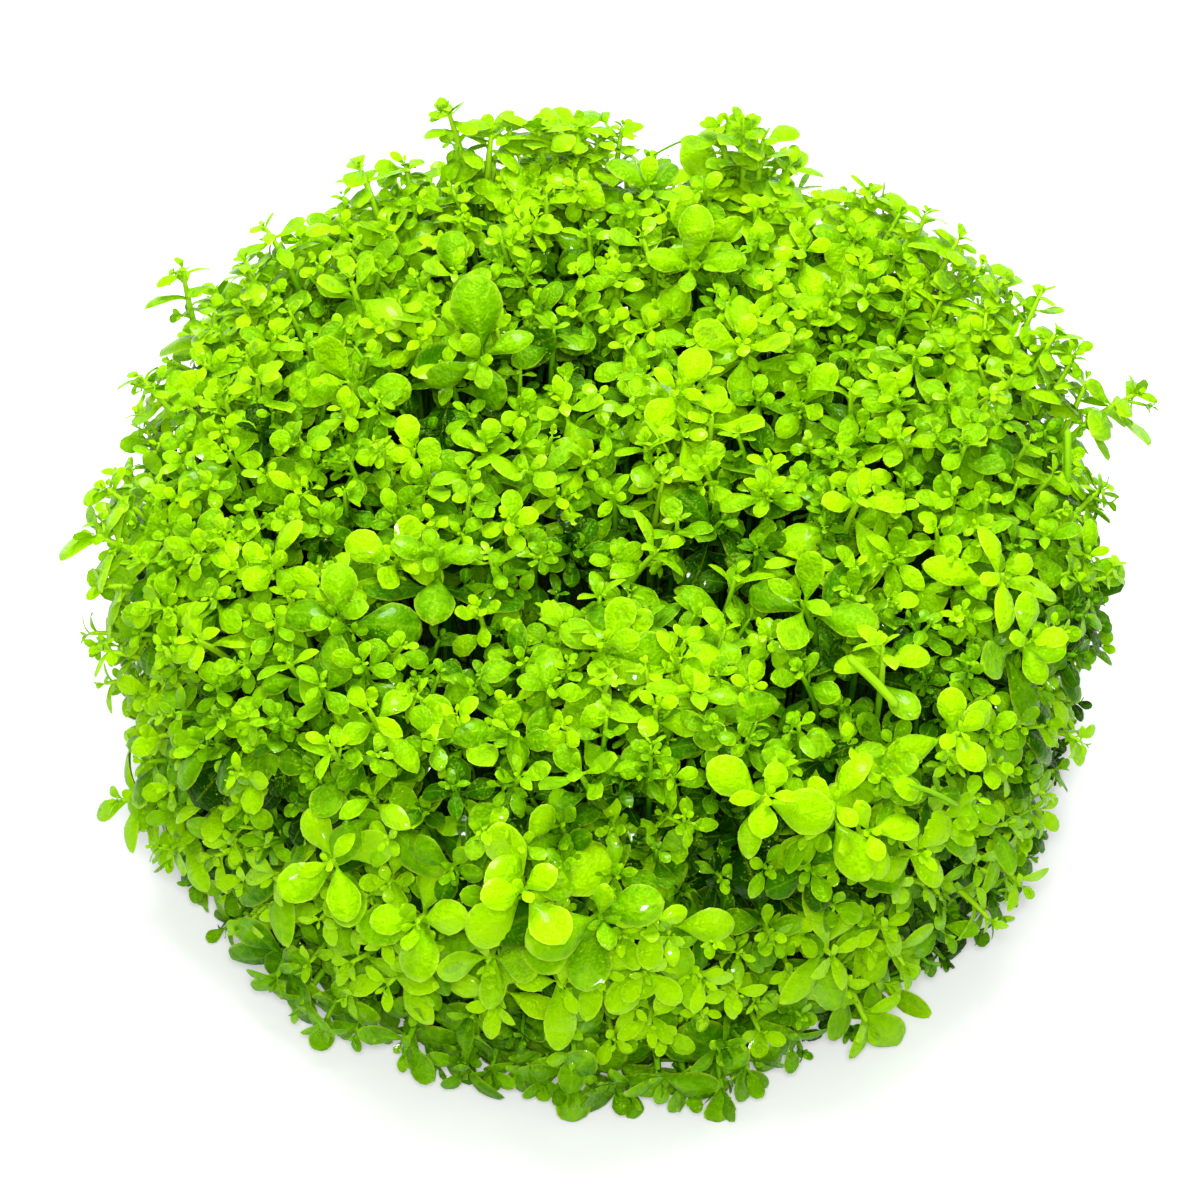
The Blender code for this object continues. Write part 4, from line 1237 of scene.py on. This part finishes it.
def make_felt():
    """Matted roots, with the pale round ends of cut stems on the face that points down."""
    made, tree, output = new_material("matted roots")
    place = add_node(tree, "ShaderNodeTexCoord").outputs["Object"]
    fibres = add_node(tree, "ShaderNodeTexNoise", Vector=place, Scale=FIBRE_SCALE, Detail=3.0, Distortion=2.5)
    fibres = fibres.outputs[0]
    ends = add_node(tree, "ShaderNodeTexVoronoi", Vector=place, Scale=CUT_END_SCALE).outputs
    facing = add_node(tree, "ShaderNodeNewGeometry").outputs["Normal"]
    downward = math_node(tree, "LESS_THAN", split_vector(tree, facing)[2], -0.5)
    start, full = CUT_END_EDGE
    round_end = add_node(tree, "ShaderNodeMapRange", interpolation_type="SMOOTHSTEP")
    wire(round_end, Value=ends["Distance"], From_Min=start, From_Max=full)
    chosen = add_node(tree, "ShaderNodeSeparateColor", Color=ends["Color"]).outputs[0]
    some = math_node(tree, "GREATER_THAN", chosen, CUT_END_LIMIT)
    share = math_node(tree, "MULTIPLY", round_end.outputs[0], math_node(tree, "MULTIPLY", some, downward))
    colour = mix_colours(tree, share, ramp_colour(tree, FELT_RAMP, fibres), CUT_STEM)
    bump = add_node(tree, "ShaderNodeBump", Strength=0.8, Distance=FELT_BUMP, Height=fibres).outputs[0]
    shader = add_node(tree, "ShaderNodeBsdfPrincipled", Base_Color=colour, Normal=bump)
    wire(shader, Roughness=0.8, Specular_IOR_Level=0.1)
    wire(output, Surface=shader.outputs[0])
    return made


matted_roots = make_felt()
print("material:", matted_roots.name)

# %% The disc and its runners
MAT_RADIUS, MAT_HEIGHT = 28.9, 1.5
MAT_SIDES = 120
MAT_RINGS = (       # share of the radius, share of the height
    (0.985, 0.0), (1.0, 0.35), (1.0, 0.7), (0.97, 1.0), (0.8, 1.0), (0.5, 1.0),
)
RUNNERS = 170
RUNNER_POINTS, RUNNER_STEP, RUNNER_RADIUS = 11, 1.7, 0.17
RUNNER_LOW, RUNNER_HIGH = 0.35, 1.75
RUNNER_TONES = (0.15, 0.5)
ON_EDGE_SHARE = 0.45
INNER_REACH = 27.5      # a runner in the middle turns back here


def mat_reach(bearing):
    """Radius of the mat: it goes in and out between its creeping stems."""
    turn = math.radians(bearing)
    return MAT_RADIUS + 0.30 * math.sin(13.0 * turn) + 0.22 * math.sin(29.0 * turn + 1.0)


def make_mat_disc(name):
    """A flat disc, closed above and below."""
    points, faces = [], []
    for share, rise in MAT_RINGS:
        for k in range(MAT_SIDES):
            bearing = 360.0 * k / MAT_SIDES
            x, y = around(bearing, mat_reach(bearing) * share)
            points.append((x * MM, y * MM, rise * MAT_HEIGHT * MM))
    for ring in range(len(MAT_RINGS) - 1):
        for k in range(MAT_SIDES):
            low, after = ring * MAT_SIDES + k, ring * MAT_SIDES + (k + 1) % MAT_SIDES
            faces.append((low, after, after + MAT_SIDES, low + MAT_SIDES))
    faces.append(tuple(reversed(range(MAT_SIDES))))
    faces.append(tuple(range(len(points) - MAT_SIDES, len(points))))
    mesh = bpy.data.meshes.new(name)
    mesh.from_pydata(points, [], faces)
    mesh.materials.append(matted_roots)
    made = bpy.data.objects.new(name, mesh)
    bpy.context.scene.collection.objects.link(made)
    return made


def runner(dice):
    """A creeping stem that wanders over the mat, or follows its edge."""
    on_edge = dice.random() < ON_EDGE_SHARE
    bearing = dice.uniform(0.0, 360.0)
    reach = mat_reach(bearing) - dice.uniform(-0.1, 0.9) if on_edge else dice.uniform(2.0, 26.0)
    x, y = around(bearing, reach)
    heading = bearing + 90.0 if on_edge else dice.uniform(0.0, 360.0)
    height = dice.uniform(0.5, 1.5) if on_edge else MAT_HEIGHT
    chain = []
    for _ in range(RUNNER_POINTS):
        step = direction(heading, 0.0) * RUNNER_STEP
        place = Vector((x, y, height))
        chain.append(bare_point(place, step.normalized(), dice.uniform(*RUNNER_TONES), RUNNER_RADIUS))
        x, y = x + step.x, y + step.y
        if on_edge:
            bearing = math.degrees(math.atan2(y, x))
            x, y = around(bearing, mat_reach(bearing) + 0.1 - 0.5 * dice.random())
            heading = bearing + 90.0
        else:
            heading += dice.uniform(-35.0, 35.0)
            if math.hypot(x, y) > INNER_REACH:
                heading = math.degrees(math.atan2(-y, -x))
        height = min(max(height + dice.uniform(-0.25, 0.25), RUNNER_LOW), RUNNER_HIGH)
    return chain


dice = random.Random(13)
runners = make_sprigs("foot_mat_runners", [runner(dice) for _ in range(RUNNERS)], dice, 900, {})
disc = make_mat_disc("foot_mat_disc")
for piece in (runners, disc):
    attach(piece, "root")
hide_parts("foot_mat")
print("runners have", len(runners.data.polygons), "faces")

# %% [markdown]
# ## Floor, light and camera
# The cushion stands on a white floor under broad soft light from above, so that only a faint shadow gathers
# round its foot. The camera stands far off with a long lens and looks down at fifty degrees.

# %% Stage
FLOOR_HALF = 2.0
WHITE, FLOOR_WHITE = (1.0, 1.0, 1.0, 1.0), (0.74, 0.76, 0.74, 1.0)
FLOOR_LIFT = 0.28       # the camera sees the floor this much brighter than the light alone makes it
LIGHTS = (              # place, size and power
    ("overhead softbox", (-0.01, 0.22, 0.57), 0.40, 5.2),
    ("front softbox", (0.0, -0.37, 0.50), 0.12, 2.5),
)
SKY = ((0.51, (0.95, 0.95, 0.95)), (0.54, (0.42, 0.42, 0.42)), (1.0, (0.42, 0.42, 0.42)))


def make_floor():
    corners = ((-1, -1), (1, -1), (1, 1), (-1, 1))
    mesh = bpy.data.meshes.new("floor")
    mesh.from_pydata([(x * FLOOR_HALF, y * FLOOR_HALF, 0.0) for x, y in corners], [], [(0, 1, 2, 3)])
    floor = bpy.data.objects.new("floor", mesh)
    bpy.context.scene.collection.objects.link(floor)
    made, tree, output = new_material("white floor")
    seen = add_node(tree, "ShaderNodeLightPath").outputs["Is Camera Ray"]
    shader = add_node(
        tree, "ShaderNodeBsdfPrincipled", Base_Color=FLOOR_WHITE, Roughness=0.9, Emission_Color=WHITE,
        Emission_Strength=math_node(tree, "MULTIPLY", seen, FLOOR_LIFT),
    )
    wire(output, Surface=shader.outputs[0])
    mesh.materials.append(made)


def make_light(name, place, size, power):
    lamp = bpy.data.lights.new(name, "AREA")
    lamp.shape = "DISK"
    lamp.size = size
    lamp.energy = power
    made = bpy.data.objects.new(name, lamp)
    made.location = place
    made.rotation_euler = (-Vector(place)).to_track_quat("-Z", "Y").to_euler()
    bpy.context.scene.collection.objects.link(made)


def make_world():
    """Bright up to the horizon and a little over it, and grey above."""
    world = bpy.data.worlds.new("studio")
    world.use_nodes = True
    sky = world.node_tree
    up = split_vector(sky, add_node(sky, "ShaderNodeTexCoord").outputs["Generated"])[2]
    colour = ramp_colour(sky, SKY, times_plus(sky, up, 0.5, 0.5))
    wire(sky.nodes["Background"], Color=colour)
    bpy.context.scene.world = world
    bpy.context.scene.view_settings.view_transform = "Standard"


make_floor()
for light in LIGHTS:
    make_light(*light)
make_world()
print("stage: a floor,", len(LIGHTS), "lights and a world")

# %% Camera
CAMERA_CLIMB = 50.0
CAMERA_DISTANCE = 430.0
TARGET_HEIGHT = 14.05
LENS_PIXELS = 6669.0        # focal length in pixels of a picture this many pixels wide
PICTURE_SIDE = 1200.0
TARGET_X, TARGET_Y = 605.5, 577.0
SENSOR_WIDTH = 36.0

camera_data = bpy.data.cameras.new("camera")
camera_data.sensor_width = SENSOR_WIDTH
camera_data.lens = SENSOR_WIDTH * LENS_PIXELS / PICTURE_SIDE
camera_data.shift_x = (0.5 * PICTURE_SIDE - TARGET_X) / PICTURE_SIDE
camera_data.shift_y = (TARGET_Y - 0.5 * PICTURE_SIDE) / PICTURE_SIDE
camera_data.clip_start = 0.01
camera = bpy.data.objects.new("camera", camera_data)
back = direction(-90.0, CAMERA_CLIMB)
camera.location = (Vector((0.0, 0.0, TARGET_HEIGHT)) + back * CAMERA_DISTANCE) * MM
camera.rotation_euler = (-back).to_track_quat("-Z", "Y").to_euler()
bpy.context.scene.collection.objects.link(camera)
bpy.context.scene.camera = camera
print("camera", CAMERA_DISTANCE, "mm away,", CAMERA_CLIMB, "degrees over the floor")
